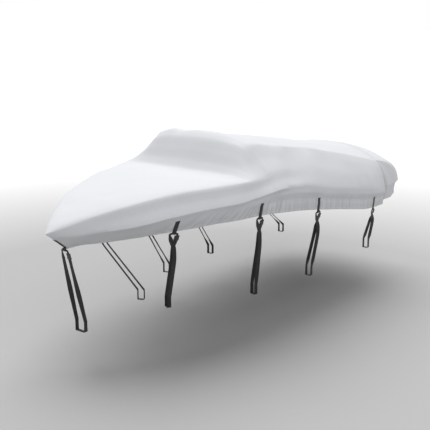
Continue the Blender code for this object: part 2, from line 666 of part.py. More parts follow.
def leg_path(start, finish, outboard, knee_out, apart):
    """From the arch to the bight by way of the knee, as a function of the distance down the leg.

    apart is how far the arch's end stands from the line that both legs follow once they have met.
    """
    top = start - apart
    knee = top + (finish - top) * KNEE_DOWN + outboard * knee_out
    upper, lower = unit(knee - top), unit(finish - knee)
    to_knee = np.linalg.norm(knee - top)
    length = to_knee + np.linalg.norm(finish - knee)

    def point(distance):
        closing = apart * (1.0 - smoothstep(0.0, LEGS_MEET, distance))
        t = np.clip((distance - to_knee + KNEE_ROUND) / (2 * KNEE_ROUND), 0.0, 1.0)
        if t in (0.0, 1.0):
            return closing + knee + (lower if t else upper) * (distance - to_knee)
        return closing + knee - upper * KNEE_ROUND * (1 - t) ** 2 + lower * KNEE_ROUND * t**2

    return point, length, to_knee


def leg(path, along, lengthwise, outboard, twist, skip):
    """Webbing that turns from the cloth's plane into the bight's, with a slack twist on its way."""
    point, length, to_knee = path
    bend = (to_knee - KNEE_ROUND, to_knee + KNEE_ROUND)
    places = list(np.linspace(skip, bend[0], LEG_STRAIGHT + 1))
    places += list(np.linspace(bend[0], bend[1], LEG_BEND + 1))[1:]
    places += list(np.linspace(bend[1], length, LEG_STRAIGHT + 2))[1:]
    rows = []
    for distance in places:
        turned = smoothstep(0.02 + skip / length, 1.0, distance / length)
        across = unit(along * (1 - turned) + lengthwise * turned)
        left = length - distance
        angle = math.radians(twist) * smoothstep(TWIST_FROM, TWIST_TO, distance)
        angle *= smoothstep(0.0, TWIST_TO - TWIST_FROM, left)
        across = across * math.cos(angle) + outboard * math.sin(angle)
        rows.append((point(distance), across, half_width_below(distance)))
    return rows


def build_strap_and_buckle(grid, name):
    """One length of webbing: from the buckle round the bight, over the arch and back to the buckle."""
    frame = hem_frame(grid, name)
    along = frame[1]
    bight, half_bight, lengthwise, outboard = bight_of(name)
    stand_off = half_bight + CLEAR + WEBBING_THICK / 2
    low, high = BIGHT_UP[0] - CLEAR - WEBBING_THICK / 2, BIGHT_UP[1]
    up = np.array([0.0, 0.0, 1.0])
    aft_quarter, fore_quarter = (arch_quarter(frame, tab_off(name), side) for side in (1, -1))
    aft_end, fore_end = aft_quarter[-1][0], fore_quarter[-1][0]
    aft_foot_side = 1 if name == "bow" else -1
    key = name.replace("starboard", "port")
    fore_knee, aft_knee = KNEE_OUT[key]
    twist = LEG_TWIST[key]
    apart = (aft_end - fore_end) / 2 if name != "bow" else np.zeros(3)

    foot = bight + outboard * stand_off * aft_foot_side + up * high
    path = leg_path(aft_end, foot, outboard, aft_knee, apart)
    heading = unit(path[0](BUCKLE_BELOW + BUCKLE_LONG) - aft_end)
    buckle = aft_end + heading * BUCKLE_BELOW
    across = unit(along - heading * np.dot(along, heading))
    inside = BUCKLE_POCKET - CLEAR
    below = BUCKLE_BELOW + BUCKLE_LONG
    rows = [(buckle + heading * (BUCKLE_LONG - inside), across, half_width_below(below))]
    rows.append((buckle + heading * (BUCKLE_LONG + 0.006), across, half_width_below(below)))
    rows += leg(path, across, lengthwise, outboard, twist, below + 0.022)
    for side, angles in ((aft_foot_side, (0, 30, 60, 90)), (-aft_foot_side, (90, 60, 30, 0))):
        for a in map(math.radians, angles):
            away = outboard * side * (stand_off - BIGHT_CORNER * (1 - math.cos(a)))
            rise = up * (low + BIGHT_CORNER * (1 - math.sin(a)))
            rows.append((bight + away + rise, lengthwise, WEBBING / 2))
    fore_foot = bight - outboard * stand_off * aft_foot_side + up * high
    path = leg_path(fore_end, fore_foot, outboard, fore_knee, -apart)
    rows += leg(path, along, lengthwise, outboard, twist, 0.010)[::-1]
    rows += fore_quarter[::-1] + aft_quarter
    rows.append((buckle - heading * 0.002, across, half_width_below(BUCKLE_BELOW)))
    rows.append((buckle + heading * inside, across, half_width_below(BUCKLE_BELOW)))
    ribbon("strap_" + name, align(rows), BLACK)
    build_buckle(name, buckle, heading, across)


def align(rows):
    """Keep each row's across vector on the same side as the one before it."""
    aligned = [rows[0]]
    for centre, across, half_wide in rows[1:]:
        if np.dot(across, aligned[-1][1]) < 0:
            across = -across
        aligned.append((centre, across, half_wide))
    return aligned


def box_points(spans):
    lengths, widths, thicknesses = spans
    return [(l, w, t) for l in lengths for w in widths for t in thicknesses]


BOX_FACES = ((0, 1, 3, 2), (4, 6, 7, 5), (0, 4, 5, 1), (2, 3, 7, 6), (0, 2, 6, 4), (1, 5, 7, 3))


def build_buckle(name, start, ahead, across):
    """A rounded block, with a pocket at each end for the webbing."""
    axes = [Vector(axis) for axis in (ahead, across, np.cross(ahead, across))]
    stands = Matrix.Translation(place(start)) @ Matrix(axes).transposed().to_4x4()
    spans = ((0.0, BUCKLE_LONG), (-BUCKLE_WIDE / 2, BUCKLE_WIDE / 2), (-BUCKLE_THICK / 2, BUCKLE_THICK / 2))
    body = add_object("buckle_" + name, box_points(spans), BOX_FACES, PLASTIC, 30, stands)
    bevel = body.modifiers.new("rounding", "BEVEL")
    bevel.width = BUCKLE_BEVEL
    bevel.segments = 2
    half_wide = WEBBING / 2 + CLEAR
    half_thick = WEBBING_THICK / 2 + CLEAR
    ends = ((-0.01, BUCKLE_POCKET), (BUCKLE_LONG - BUCKLE_POCKET, BUCKLE_LONG + 0.01))
    for k, lengths in enumerate(ends):
        spans = (lengths, (-half_wide, half_wide), (-half_thick, half_thick))
        cutter = add_object("pocket_%d_%s" % (k, name), box_points(spans), BOX_FACES, PLASTIC, None, stands)
        cutter.hide_render = True
        cutter.display_type = "WIRE"
        cut = body.modifiers.new("pocket_%d" % k, "BOOLEAN")
        cut.operation = "DIFFERENCE"
        cut.object = cutter


def main():
    clear_scene()
    grid = cloth_grid()
    build_main_cloth(grid)
    build_hood()
    names = ["bow"]
    for side in ("port", "starboard"):
        names += [key.replace("port", side) for key in TAB_AFT]
    for name in names:
        build_tab(grid, name)
        build_strap_and_buckle(grid, name)


main()
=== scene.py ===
"""Looks of a fitted cover: silver-grey cloth drawn tight, black webbing tabs and straps, plastic buckles.

Metres, +X aft, +Y starboard, +Z up. Sizes are first taken aft of the bow tip, out from the
centreline and up from the ground; add_mesh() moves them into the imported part's own frame.
"""
import math

import bmesh
import bpy
import numpy as np
from mathutils import Matrix, Vector


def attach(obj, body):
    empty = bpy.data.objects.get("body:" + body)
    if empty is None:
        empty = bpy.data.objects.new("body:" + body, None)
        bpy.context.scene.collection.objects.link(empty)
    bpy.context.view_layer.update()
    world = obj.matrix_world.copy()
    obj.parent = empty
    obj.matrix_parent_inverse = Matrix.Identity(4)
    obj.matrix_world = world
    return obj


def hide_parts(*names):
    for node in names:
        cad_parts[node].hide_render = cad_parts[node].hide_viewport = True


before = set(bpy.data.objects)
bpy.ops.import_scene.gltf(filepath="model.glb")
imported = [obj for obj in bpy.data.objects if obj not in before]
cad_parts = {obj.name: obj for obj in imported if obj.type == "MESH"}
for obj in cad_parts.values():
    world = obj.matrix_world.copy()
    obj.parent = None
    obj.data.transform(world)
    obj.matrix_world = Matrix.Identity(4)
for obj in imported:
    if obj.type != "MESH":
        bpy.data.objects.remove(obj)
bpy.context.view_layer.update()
scene = bpy.context.scene

# -------- sizes shared with the part
MOUNT = np.array([2.30, 0.0, 2.169])  # the origin of the part's own frame
SHEET = 0.0026
WEBBING, WEB_THICK = 0.046, 0.0018
CLEAR = 0.0004  # air between pieces that touch in the real thing
SEAM_AFT, HOOD_GAP = 4.90, 0.0005  # the seam plane, and how far aft of it the hood starts
# The lines that run from bow to stern, from the middle of the top down to the hem. A place
# between two lines is a fraction. TURN is 0 where the cloth rounds a line, 1 at a sharp fold.
LINES = ("crown", "shoulder", "ridge", "slope", "edge", "bulge", "tuck", "hem")
RIDGE, BULGE, HEM = (float(LINES.index(line)) for line in ("ridge", "bulge", "hem"))
TURN = (0.0, 0.0, 0.0, 0.1, 0.35, 0.3, 0.2, 0.0)
RIDGE_TURN, TURNS_OVER = 0.75, (2.05, 2.50)  # aft of the front the ridge is a fold
RAKE_SHARE = (0, 0, 0, 0, 0, 0.18, 0.6, 1.0)  # how far each line leans aft with the rake
SHOULDER_OUT, SHOULDER_DROP = 0.55, 0.24  # as shares of the way from crown to ridge
# One row for each section: distance aft of the bow tip, rake, height of the crown, then
# (out, up) on each line from the ridge to the hem.
SECTIONS = (
    (-0.03, 0.25, 1.440,
     (0.000, 1.440), (0.000, 1.440), (0.000, 1.440), (0.000, 1.405), (0.000, 1.325), (0.000, 1.245)),
    (0.10, 0.25, 1.522,
     (0.062, 1.519), (0.098, 1.511), (0.124, 1.492), (0.138, 1.402), (0.098, 1.330), (0.040, 1.258)),
    (0.30, 0.20, 1.605,
     (0.140, 1.600), (0.215, 1.588), (0.260, 1.565), (0.304, 1.436), (0.252, 1.358), (0.180, 1.275)),
    (0.60, 0.12, 1.695,
     (0.240, 1.688), (0.370, 1.670), (0.443, 1.645), (0.506, 1.466), (0.442, 1.385), (0.365, 1.300)),
    (1.00, 0.05, 1.760,
     (0.340, 1.752), (0.520, 1.735), (0.610, 1.707), (0.694, 1.518), (0.647, 1.427), (0.595, 1.338)),
    (1.40, 0.00, 1.782,
     (0.440, 1.776), (0.670, 1.765), (0.780, 1.737), (0.858, 1.556), (0.822, 1.456), (0.785, 1.364)),
    (1.75, 0.00, 1.780,
     (0.620, 1.776), (0.800, 1.770), (0.885, 1.743), (0.957, 1.566), (0.926, 1.474), (0.890, 1.370)),
    (1.90, 0.00, 1.796,
     (0.720, 1.788), (0.880, 1.772), (0.930, 1.750), (0.985, 1.585), (0.955, 1.495), (0.925, 1.372)),
    (2.00, 0.00, 1.870,
     (0.690, 1.848), (0.865, 1.797), (0.945, 1.752), (1.003, 1.595), (0.975, 1.508), (0.945, 1.372)),
    (2.10, 0.00, 2.004,
     (0.655, 1.957), (0.828, 1.838), (0.950, 1.755), (1.017, 1.605), (0.990, 1.522), (0.960, 1.368)),
    (2.20, 0.00, 2.124,
     (0.636, 2.054), (0.800, 1.887), (0.950, 1.760), (1.028, 1.615), (1.000, 1.535), (0.972, 1.362)),
    (2.30, 0.00, 2.172,
     (0.640, 2.076), (0.785, 1.928), (0.935, 1.790), (1.037, 1.622), (1.010, 1.542), (0.982, 1.355)),
    (2.70, 0.00, 2.103,
     (0.680, 2.022), (0.790, 1.917), (0.935, 1.780), (1.055, 1.610), (1.040, 1.520), (1.020, 1.322)),
    (3.20, 0.00, 2.030,
     (0.710, 1.950), (0.820, 1.848), (0.960, 1.700), (1.072, 1.520), (1.055, 1.432), (1.035, 1.248)),
    (3.80, 0.00, 1.935,
     (0.755, 1.830), (0.860, 1.727), (0.980, 1.585), (1.070, 1.415), (1.053, 1.328), (1.035, 1.145)),
    (4.40, 0.00, 1.834,
     (0.780, 1.700), (0.880, 1.603), (0.975, 1.475), (1.045, 1.310), (1.027, 1.228), (1.005, 1.045)),
    (SEAM_AFT, 0.00, 1.777,
     (0.810, 1.577), (0.880, 1.495), (0.930, 1.390), (0.963, 1.255), (0.955, 1.160), (0.935, 1.003)),
)
# The main folds of the draped sides: side, aft and line of the upper end, aft and line of the
# lower end, half width, and depth, which is out (+) for a ridge and in (-) for a trough.
FOLDS = (
    (-1, 2.68, 1.9, 2.34, 5.4, 0.13, 0.014),
    (-1, 2.94, 2.0, 2.62, 5.4, 0.12, -0.010),
    (-1, 3.26, 2.0, 2.97, 6.2, 0.11, 0.010),
    (-1, 3.52, 2.4, 3.30, 6.2, 0.12, -0.008),
    (-1, 4.05, 2.6, 3.92, 6.4, 0.16, -0.007),
    (-1, 1.62, 5.0, 1.46, 7.4, 0.12, -0.007),
    (-1, 1.95, 5.2, 1.80, 7.4, 0.11, 0.006),
    (-1, 2.30, 5.2, 2.24, 7.4, 0.12, -0.008),
    (-1, 2.80, 5.2, 2.74, 7.4, 0.12, 0.007),
    (-1, 3.60, 5.2, 3.60, 7.4, 0.13, -0.007),
    (-1, 4.20, 5.2, 4.22, 7.4, 0.12, 0.006),
    (1, 2.33, 0.9, 2.32, 2.35, 0.10, 0.044),
    (1, 2.74, 1.9, 2.42, 5.4, 0.13, 0.013),
    (1, 3.02, 2.0, 2.74, 5.4, 0.13, -0.010),
    (1, 3.40, 2.0, 3.12, 6.2, 0.12, 0.009),
    (1, 3.95, 2.4, 3.78, 6.4, 0.15, -0.008),
    (1, 1.52, 5.0, 1.38, 7.4, 0.12, -0.006),
    (1, 1.86, 5.2, 1.74, 7.4, 0.12, 0.007),
    (1, 2.46, 5.2, 2.40, 7.4, 0.12, -0.007),
    (1, 2.98, 5.2, 2.94, 7.4, 0.12, 0.006),
    (1, 3.48, 5.2, 3.48, 7.4, 0.13, -0.008),
    (1, 4.28, 5.2, 4.32, 7.4, 0.13, 0.006),
)
HOOD_DEPTH, HOOD_SQUARE = 0.62, 5.0  # how far it reaches aft, and how square it is in plan
HOOD_RIM_UP = (1.262, 1.285)  # at the seam and at the stern's middle
HOOD_SKIRT_DROP, HOOD_SKIRT_IN, HOOD_TUCK_DROP, HOOD_BLEND = 0.185, 0.045, 0.045, 0.16
HOOD_TUCK = HOOD_TUCK_DROP / HOOD_SKIRT_DROP
# at these shares of the way down its skirt: how far it is drawn in, and the seam's line there
HOOD_DRAWN_IN = ((0.0, HOOD_TUCK / 2, HOOD_TUCK, 0.6, 1.0), (0.0, 0.45, 0.7, 0.9, 1.0))
HOOD_SEAM_LINE = ((0.0, HOOD_TUCK, 0.6, 1.0), (BULGE, 5.45, 6.1, 6.62))
TAB_LONG, TAB_OFF, BOW_TAB_OFF = 0.145, 0.0008, 0.0038  # length, and how far off the cloth
TAB_THICK = 2 * WEB_THICK
EYE_BOTTOM, EYE_DEEP = 0.0375, 0.0066  # the tab's loop, which the strap goes through
TAB_AFT = dict(port_1=1.045, port_2=2.075, port_3=3.115, port_4=4.530)
BOW_TAB_LINES, BOW_LOOP_DOWN = (5.5, 6.75), (0.25, 0.0, -0.97)
# the strap is bunched in the loop, arches over it, and opens to full width down its legs
ARCH_HALF, ARCH_RADIUS, ARCH_BUNCH, ARCH_END = 0.0290, 0.0125, 0.022, 0.023
LEG_OPENS = 0.070
BIGHT_WIDE, BIGHT_UP, BIGHT_CORNER = 0.072, (0.364, 0.472), 0.007
BIGHT_AT = dict(port_1=(1.44, 0.200), port_2=(2.38, 0.665), port_3=(3.37, 0.772), port_4=(4.93, 0.700))
BIGHT_TOE_OUT = dict(port_1=26.0, port_2=18.0, port_3=2.0, port_4=0.0)  # degrees
BOW_BIGHT_AFT, BOW_BIGHT_WIDE = 0.37, 0.125
# a side strap's legs meet, and each turns at a knee: how far down, and how far outboard (fore, aft)
LEGS_MEET, KNEE_DOWN, KNEE_ROUND = 0.20, 0.36, 0.07
KNEE_OUT = dict(
    bow=(0.0, 0.0), port_1=(0.066, 0.030), port_2=(0.030, 0.016), port_3=(0.034, 0.010), port_4=(0.020, 0.004),
)
LEG_TWIST = dict(bow=0.0, port_1=4.0, port_2=14.0, port_3=28.0, port_4=32.0)  # degrees
TWIST_FROM, TWIST_TO = 0.09, 0.22
BUCKLE_LONG, BUCKLE_WIDE, BUCKLE_THICK = 0.064, 0.054, 0.012
BUCKLE_BELOW = 0.014  # from the end of the arch to the buckle

# -------- sizes of the fine surface
LINE_STEPS = (5, 6, 6, 4, 5, 6, 8)  # rows of the mesh between one line and the next
COLUMN = 0.0092  # from one column of the mesh to the next
STEM_CENTRE = (0.60, 0.0, 1.45)  # the stem's cloth faces away from this point
HEM_DEEP, HEM_PROUD = 0.026, 0.0012  # the turned hem
SEAM_WIDE, SEAM_PROUD = 0.016, 0.0010  # the felled seam where the hood joins
STITCH_AT, SEAM_STITCH_AT = HEM_DEEP - 0.003, SEAM_WIDE - 0.004  # threads, in from each edge
STITCH, STITCH_HALF = 0.0045, 0.0009  # from stitch to stitch, and half a thread
CREASE_DEEP = 0.0035  # a trough this deep gets all the painted crease shade it can
# painted shade along the seam: the colour darkens from the first distance from it to the second, on the main cloth,
# then on the hood
SEAM_SHADE, HOOD_SEAM_SHADE = (0.012, 0.002), (0.025, 0.004)
# Creases are drawn from these ranges: step to the next, share of the depth, half width,
# height above the hem, lean, bend.
GATHERS = ((0.022, 0.052), (0.35, 1.0), (0.007, 0.012), (0.08, 0.24), (-0.10, 0.10), (-0.25, 0.25))
HOOD_GATHERS = ((0.022, 0.05), (0.3, 1.0), (0.008, 0.013), (0.05, 0.16), (-0.3, 0.3))
HOOD_CREASES = ((0.05, 0.16), (0.3, 1.0), (0.010, 0.020))  # these lie above the rim
GATHER_DEEP, HOOD_GATHER_DEEP, HOOD_CREASE_DEEP = 0.0062, 0.0032, 0.0016
GATHERS_OVER = (0.35, SEAM_AFT - 0.05)
GATHERS_GROW, GATHERS_EASE, GATHERS_EASED = (0.45, 1.0), (2.9, 3.3), 0.35
GATHER_LEAN, LEAN_FADES = 0.85, (1.4, 2.7)
FAN = ((-0.95, 0.0016), (-0.5, 0.0022), (0.5, 0.0020), (0.95, 0.0015))  # lean and depth at a tab
FAN_TALL, TAB_CALMS = 0.17, 0.85
# soft unevenness: height, wave length, seed
SLACK, RIPPLE = (0.0022, 0.55, 5), (0.0006, 0.16, 6)
HOOD_SLACK, HOOD_RIPPLE = (0.0020, 0.45, 9), (0.0007, 0.13, 10)
WAVES, STEM_CALM = 7, (0.0, 0.30)
# ridges (+) and grooves (-) along the cloth: line, half width in lines, depth
TUCK_RIDGES = ((5.80, 0.40, 0.016), (6.34, 0.13, -0.012))
TUCK_GROWS = (1.6, 2.5)
BULGE_RIDGES = ((4.95, 0.26, 0.020), (4.45, 0.28, -0.014))
BULGE_GROWS, BULGE_FADES = (0.10, 0.55), (2.2, 3.2)
HOOD_SKIRT_ROWS, HOOD_ROWS, HOOD_COLUMNS = 14, 30, 150
RIM_PROUD, RIM_HALF = 0.0016, 0.012
EDGE_THIN, EDGE_ROUND = 0.75, 0.7  # the webbing's selvedge, as shares of its half thickness
TAB_MARGIN, WEB_MARGIN = 0.0008, 0.0006  # keeps each band inside the solid's own width
PLEAT_HIGH, PLEAT_TURNS = 0.0026, 2.6  # where the webbing is gathered
WEB_IN_BUCKLE = 0.0085
TAIL_ROWS, TAIL_STEP = 9, 0.006  # the end that is folded back below the buckle
# outlines in the buckle: (along it, in from its side)
SOCKET = (
    (0.0225, BUCKLE_WIDE / 2), (0.0225, 0.0068), (0.0245, 0.0030), (0.0285, 0.0024), (0.0310, 0.0064),
    (0.0410, 0.0070), (0.0455, 0.0032), (0.0485, 0.0006), (BUCKLE_LONG - 0.0040, 0.0006),
    (BUCKLE_LONG - 0.0008, 0.0036), (BUCKLE_LONG - 0.0008, BUCKLE_WIDE / 2),
)
PLUG = (
    (0.0008, BUCKLE_WIDE / 2), (0.0008, 0.0036), (0.0036, 0.0006), (0.0125, 0.0006), (0.0165, 0.0032),
    (0.0212, 0.0040), (0.0212, BUCKLE_WIDE / 2),
)
PRONG = (
    (0.0205, 0.0074), (0.0205, 0.0036), (0.0295, 0.0022), (0.0345, 0.0008), (0.0410, 0.0005),
    (0.0450, 0.0018), (0.0462, 0.0052), (0.0310, 0.0068),
)
PRONG_HALF = 0.0036
PAD_AT, PAD_LONG, PAD_WIDE, PAD_HIGH, PAD_SIDES = 0.0395, 0.0085, 0.0115, 0.0007, 28
# start, length, in from each side, and how far below the faces: the grip's ribs, then the
# bars that the webbing is threaded round, one at each end
BARS = [(start, 0.0012, 0.013, 0.0004) for start in (0.0125, 0.0152, 0.0179)]
BARS += [(start, 0.0014, 0.006, 0.0002) for start in (0.0048, BUCKLE_LONG - 0.0062)]

# -------- camera, floor, light, colours
CAMERA_AT = (-7.143, -5.887, 1.220)
AZIMUTH, ELEVATION = math.radians(38.702), math.radians(13.326)
SENSOR, FOCAL, PHOTO_WIDE = 36.0, 823.15, 430.0  # mm, then pixels
CAMERA_SEES = 300.0
SKY_SPAN, SKY_STRENGTH = (0.06, 0.20), (1.0, 0.36)
LAMP_WIDE = math.radians(60.0)
LAMPS = dict(overhead=(3.6, (-0.30, -0.36, -0.88)), fill=(0.85, (0.26, 0.62, -0.74)))
FLOOR_REACH = 250.0
FLOOR_SPAN, FLOOR_TONE = (4.5, 13.0), (0.34, 0.86)  # painted shade: the floor is darker round the cover and grows paler away from the middle
WHITE = (1.0, 1.0, 1.0, 1.0)
CLOTH_TONES = (0.520, 0.528, 0.552, 1.0), (0.580, 0.586, 0.606, 1.0)
# painted shade in the creases and along the seam: its colour, and the most of it that shows
CREASE_SHADE_TONE, CREASE_SHADE_SHARE = (0.400, 0.404, 0.420, 1.0), 0.80
THREAD_TONE = (0.74, 0.745, 0.76, 1.0)
# the webbing's black, and the lighter colour of its painted rib highlights
WEBBING_TONES = (0.013, 0.013, 0.015, 1.0), (0.052, 0.052, 0.057, 1.0)
PLASTIC_TONES = (0.022, 0.022, 0.024, 1.0), (0.050, 0.050, 0.054, 1.0)
YARN, RIB, WARP = 0.0011, 0.0021, 0.0016  # pitch of the cloth's and the webbing's weave


def unit(v):
    v = np.asarray(v, float)
    return v / np.maximum(np.linalg.norm(v, axis=-1, keepdims=True), 1e-12)


def smoothstep(low, high, x):
    t = np.clip((np.asarray(x, float) - low) / (high - low), 0.0, 1.0)
    return t * t * (3.0 - 2.0 * t)


def bell(x, width):
    return np.exp(-np.square(np.asarray(x, float) / width))


def hermite(t, start, leaving, end, arriving):
    return (
        (2 * t**3 - 3 * t**2 + 1) * start + (t**3 - 2 * t**2 + t) * leaving
        + (3 * t**2 - 2 * t**3) * end + (t**3 - t**2) * arriving
    )


def lengths(points, axis=0):
    """How far along its row each point lies."""
    steps = np.linalg.norm(np.diff(points, axis=axis), axis=-1)
    return np.concatenate([0 * np.take(steps, [0], axis), np.cumsum(steps, axis=axis)], axis=axis)


def pairs(u, v):
    return np.stack([u, v], axis=2).reshape(-1, 2)


def make_camera():
    level = math.cos(ELEVATION)
    ahead = Vector((math.cos(AZIMUTH) * level, math.sin(AZIMUTH) * level, -math.sin(ELEVATION)))
    right = Vector((math.sin(AZIMUTH), -math.cos(AZIMUTH), 0.0))
    up = right.cross(ahead)
    data = bpy.data.cameras.new("photo_camera")
    data.sensor_width = SENSOR
    data.lens = SENSOR * FOCAL / PHOTO_WIDE
    data.clip_end = CAMERA_SEES
    camera = bpy.data.objects.new("photo_camera", data)
    turn = Matrix((right, up, -ahead)).transposed().to_4x4()
    camera.matrix_world = Matrix.Translation(CAMERA_AT) @ turn
    scene.collection.objects.link(camera)
    scene.camera = camera


def make_light():
    """A white room that is brightest low down, and two broad lamps."""
    sky = Nodes(bpy.data.worlds.new("studio"), "Background")
    sky.put("Color", WHITE)
    way = sky.add("TexCoord").outputs["Generated"]
    height = sky.add("SeparateXYZ", {0: way}).outputs["Z"]
    sky.put("Strength", sky.map_range(height, SKY_SPAN, SKY_STRENGTH))
    scene.world = sky.owner
    for name, (energy, ahead) in LAMPS.items():
        data = bpy.data.lights.new(name, "SUN")
        data.angle = LAMP_WIDE
        data.energy = energy
        lamp = bpy.data.objects.new(name, data)
        lamp.rotation_euler = Vector(ahead).to_track_quat("-Z", "Y").to_euler()
        scene.collection.objects.link(lamp)
    scene.view_settings.view_transform = "Standard"


def make_floor():
    mesh = bpy.data.meshes.new("floor")
    corners = [(x * FLOOR_REACH, y * FLOOR_REACH, -MOUNT[2]) for x, y in ((-1, -1), (1, -1), (1, 1), (-1, 1))]
    mesh.from_pydata(corners, [], [(0, 1, 2, 3)])
    floor = bpy.data.objects.new("floor", mesh)
    shaded_floor = new_material("floor_painted_shade", 0.9)
    where = shaded_floor.add("TexCoord").outputs["Object"]
    from_middle = shaded_floor.add("VectorMath", {0: where}, operation="LENGTH").outputs["Value"]
    # painted shade round the cover: the floor's colour darkens towards the middle
    shaded_floor.put("Base Color", shaded_floor.map_range(from_middle, FLOOR_SPAN, FLOOR_TONE))
    mesh.materials.append(shaded_floor.owner)
    scene.collection.objects.link(floor)


# -------- materials
class Nodes:
    """A short way to write a node tree that ends in one shader."""

    def __init__(self, owner, shader="Principled BSDF"):
        owner.use_nodes = True
        self.owner, self.tree = owner, owner.node_tree
        self.shader = self.tree.nodes[shader]

    def add(self, kind, inputs=None, **settings):
        node = self.tree.nodes.new("ShaderNode" + kind)
        for key, value in settings.items():
            setattr(node, key, value)
        for key, value in (inputs or {}).items():
            self.feed(node.inputs[key], value)
        return node

    def feed(self, socket, value):
        if isinstance(value, bpy.types.NodeSocket):
            self.tree.links.new(value, socket)
        else:
            socket.default_value = value

    def put(self, name, value):
        self.feed(self.shader.inputs[name], value)

    def math(self, operation, a, b=0.0, c=0.0, clamp=False):
        return self.add("Math", dict(enumerate((a, b, c))), operation=operation, use_clamp=clamp).outputs[0]

    def wave(self, along, pitch):
        return self.math("SINE", self.math("MULTIPLY", along, 2 * math.pi / pitch))

    def map_range(self, value, span, onto):
        names = ("Value", "From Min", "From Max", "To Min", "To Max")
        return self.add("MapRange", dict(zip(names, (value, *span, *onto)))).outputs[0]

    def mix(self, factor, a, b):
        return self.add("Mix", {0: factor, 6: a, 7: b}, data_type="RGBA").outputs[2]

    def uv(self, name):
        split = self.add("SeparateXYZ", {0: self.add("UVMap", uv_map=name).outputs[0]})
        return split.outputs[0], split.outputs[1]

    def noise(self, scale, detail, vector):
        return self.add("TexNoise", {"Scale": scale, "Detail": detail, "Vector": vector}).outputs[0]

    def bump(self, height, strength, distance, under=None):
        inputs = {"Height": height, "Strength": strength, "Distance": distance}
        if under is not None:
            inputs["Normal"] = under
        return self.add("Bump", inputs).outputs[0]


def new_material(name, roughness, specular=0.5):
    made = Nodes(bpy.data.materials.new(name))
    made.put("Roughness", roughness)
    made.put("Specular IOR Level", specular)
    return made


def cloth_material():
    """Coated polyester: plain weave, faint mottling, painted shade in the creases and along the seam, threads at
    hem and seam.
    """
    m = new_material("cover_cloth_polyester", 0.62, 0.12)
    u, v = m.uv("metres")
    weave = m.math("MULTIPLY", m.wave(u, YARN), m.wave(v, YARN))
    where = m.add("TexCoord").outputs["Object"]
    mottled = m.noise(38.0, 3.0, where)
    tone = m.math("MULTIPLY_ADD", m.noise(1.6, 3.0, where), 0.5, m.math("MULTIPLY", mottled, 0.5))
    # painted shade: the colour darkens in the troughs of the creases and near the seam
    painted_crease_shade = m.math("MULTIPLY", m.uv("crease")[0], CREASE_SHADE_SHARE, clamp=True)
    base = m.mix(painted_crease_shade, m.mix(tone, *CLOTH_TONES), CREASE_SHADE_TONE)
    from_edge, along_edge = m.uv("edge")
    off_line = m.math("ABSOLUTE", m.math("SUBTRACT", from_edge, STITCH_AT))
    dash = m.math("GREATER_THAN", m.wave(along_edge, STITCH), -0.35)
    thread = m.math("MULTIPLY", m.math("LESS_THAN", off_line, STITCH_HALF), dash)
    m.put("Base Color", m.mix(thread, base, THREAD_TONE))
    m.put("Roughness", m.math("MULTIPLY_ADD", mottled, 0.16, 0.56))
    uneven = m.bump(mottled, 0.12, 0.0008, m.bump(weave, 0.35, 0.00012))
    m.put("Normal", m.bump(thread, 0.8, 0.0006, uneven))
    return m.owner


def webbing_material():
    """Black woven webbing: ribs across, warp along, painted highlights on the rib crests, mottled by dust."""
    m = new_material("strap_webbing_black", 0.78, 0.35)
    u, v = m.uv("metres")
    rib = m.wave(v, RIB)
    crossed = m.math("MULTIPLY", rib, m.wave(u, WARP))
    weave = m.math("MULTIPLY_ADD", crossed, 0.5, m.math("MULTIPLY", rib, 0.5))
    dust_and_painted_shade = m.noise(60.0, 4.0, m.add("TexCoord").outputs["Object"])
    # painted highlight: the colour is lighter on the crests of the weave, mottled by dust
    rib_highlight_and_dust = m.math("MULTIPLY", m.math("MULTIPLY_ADD", weave, 0.5, 0.5), dust_and_painted_shade, clamp=True)
    m.put("Base Color", m.mix(rib_highlight_and_dust, *WEBBING_TONES))
    m.put("Sheen Weight", 0.25)
    m.put("Sheen Roughness", 0.4)
    m.put("Normal", m.bump(weave, 0.6, 0.0004))
    return m.owner


def plastic_material():
    """Moulded acetal: dark, slightly glossy, with a fine spark-eroded texture."""
    m = new_material("buckle_plastic_dark", 0.42)
    where = m.add("TexCoord").outputs["Object"]
    worn = m.noise(90.0, 3.0, where)
    m.put("Base Color", m.mix(worn, *PLASTIC_TONES))
    m.put("Roughness", m.math("MULTIPLY_ADD", worn, 0.2, 0.34))
    m.put("Normal", m.bump(m.noise(1400.0, 2.0, where), 0.25, 0.0001))
    return m.owner


# -------- meshes
def turn_outward(mesh):
    bm = bmesh.new()
    bm.from_mesh(mesh)
    bmesh.ops.recalc_face_normals(bm, faces=bm.faces)
    bm.to_mesh(mesh)
    bm.free()


def add_mesh(name, verts, faces, material, uvs):
    """uvs: {layer name: one (u, v) for each vertex}."""
    mesh = bpy.data.meshes.new(name)
    points = np.asarray(verts, float).reshape(-1, 3) - MOUNT
    mesh.from_pydata(points.tolist(), [], faces)
    index = np.empty(len(mesh.loops), dtype=np.int32)
    mesh.loops.foreach_get("vertex_index", index)
    for layer, values in uvs.items():
        made = mesh.uv_layers.new(name=layer)
        made.data.foreach_set("uv", np.asarray(values, np.float32)[index].ravel())
    mesh.materials.append(material)
    mesh.update()
    mesh.shade_smooth()
    mesh.set_sharp_from_angle(angle=math.radians(50))
    piece = bpy.data.objects.new(name, mesh)
    scene.collection.objects.link(piece)
    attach(piece, "root")
    turn_outward(mesh)
    return piece


def grid_faces(rows, columns, first=0, turned=False):
    i, j = np.meshgrid(np.arange(rows - 1), np.arange(columns - 1), indexing="ij")
    a = first + i * columns + j
    quads = np.stack([a, a + columns, a + columns + 1, a + 1], axis=-1).reshape(-1, 4)
    return (quads[:, ::-1] if turned else quads).tolist()


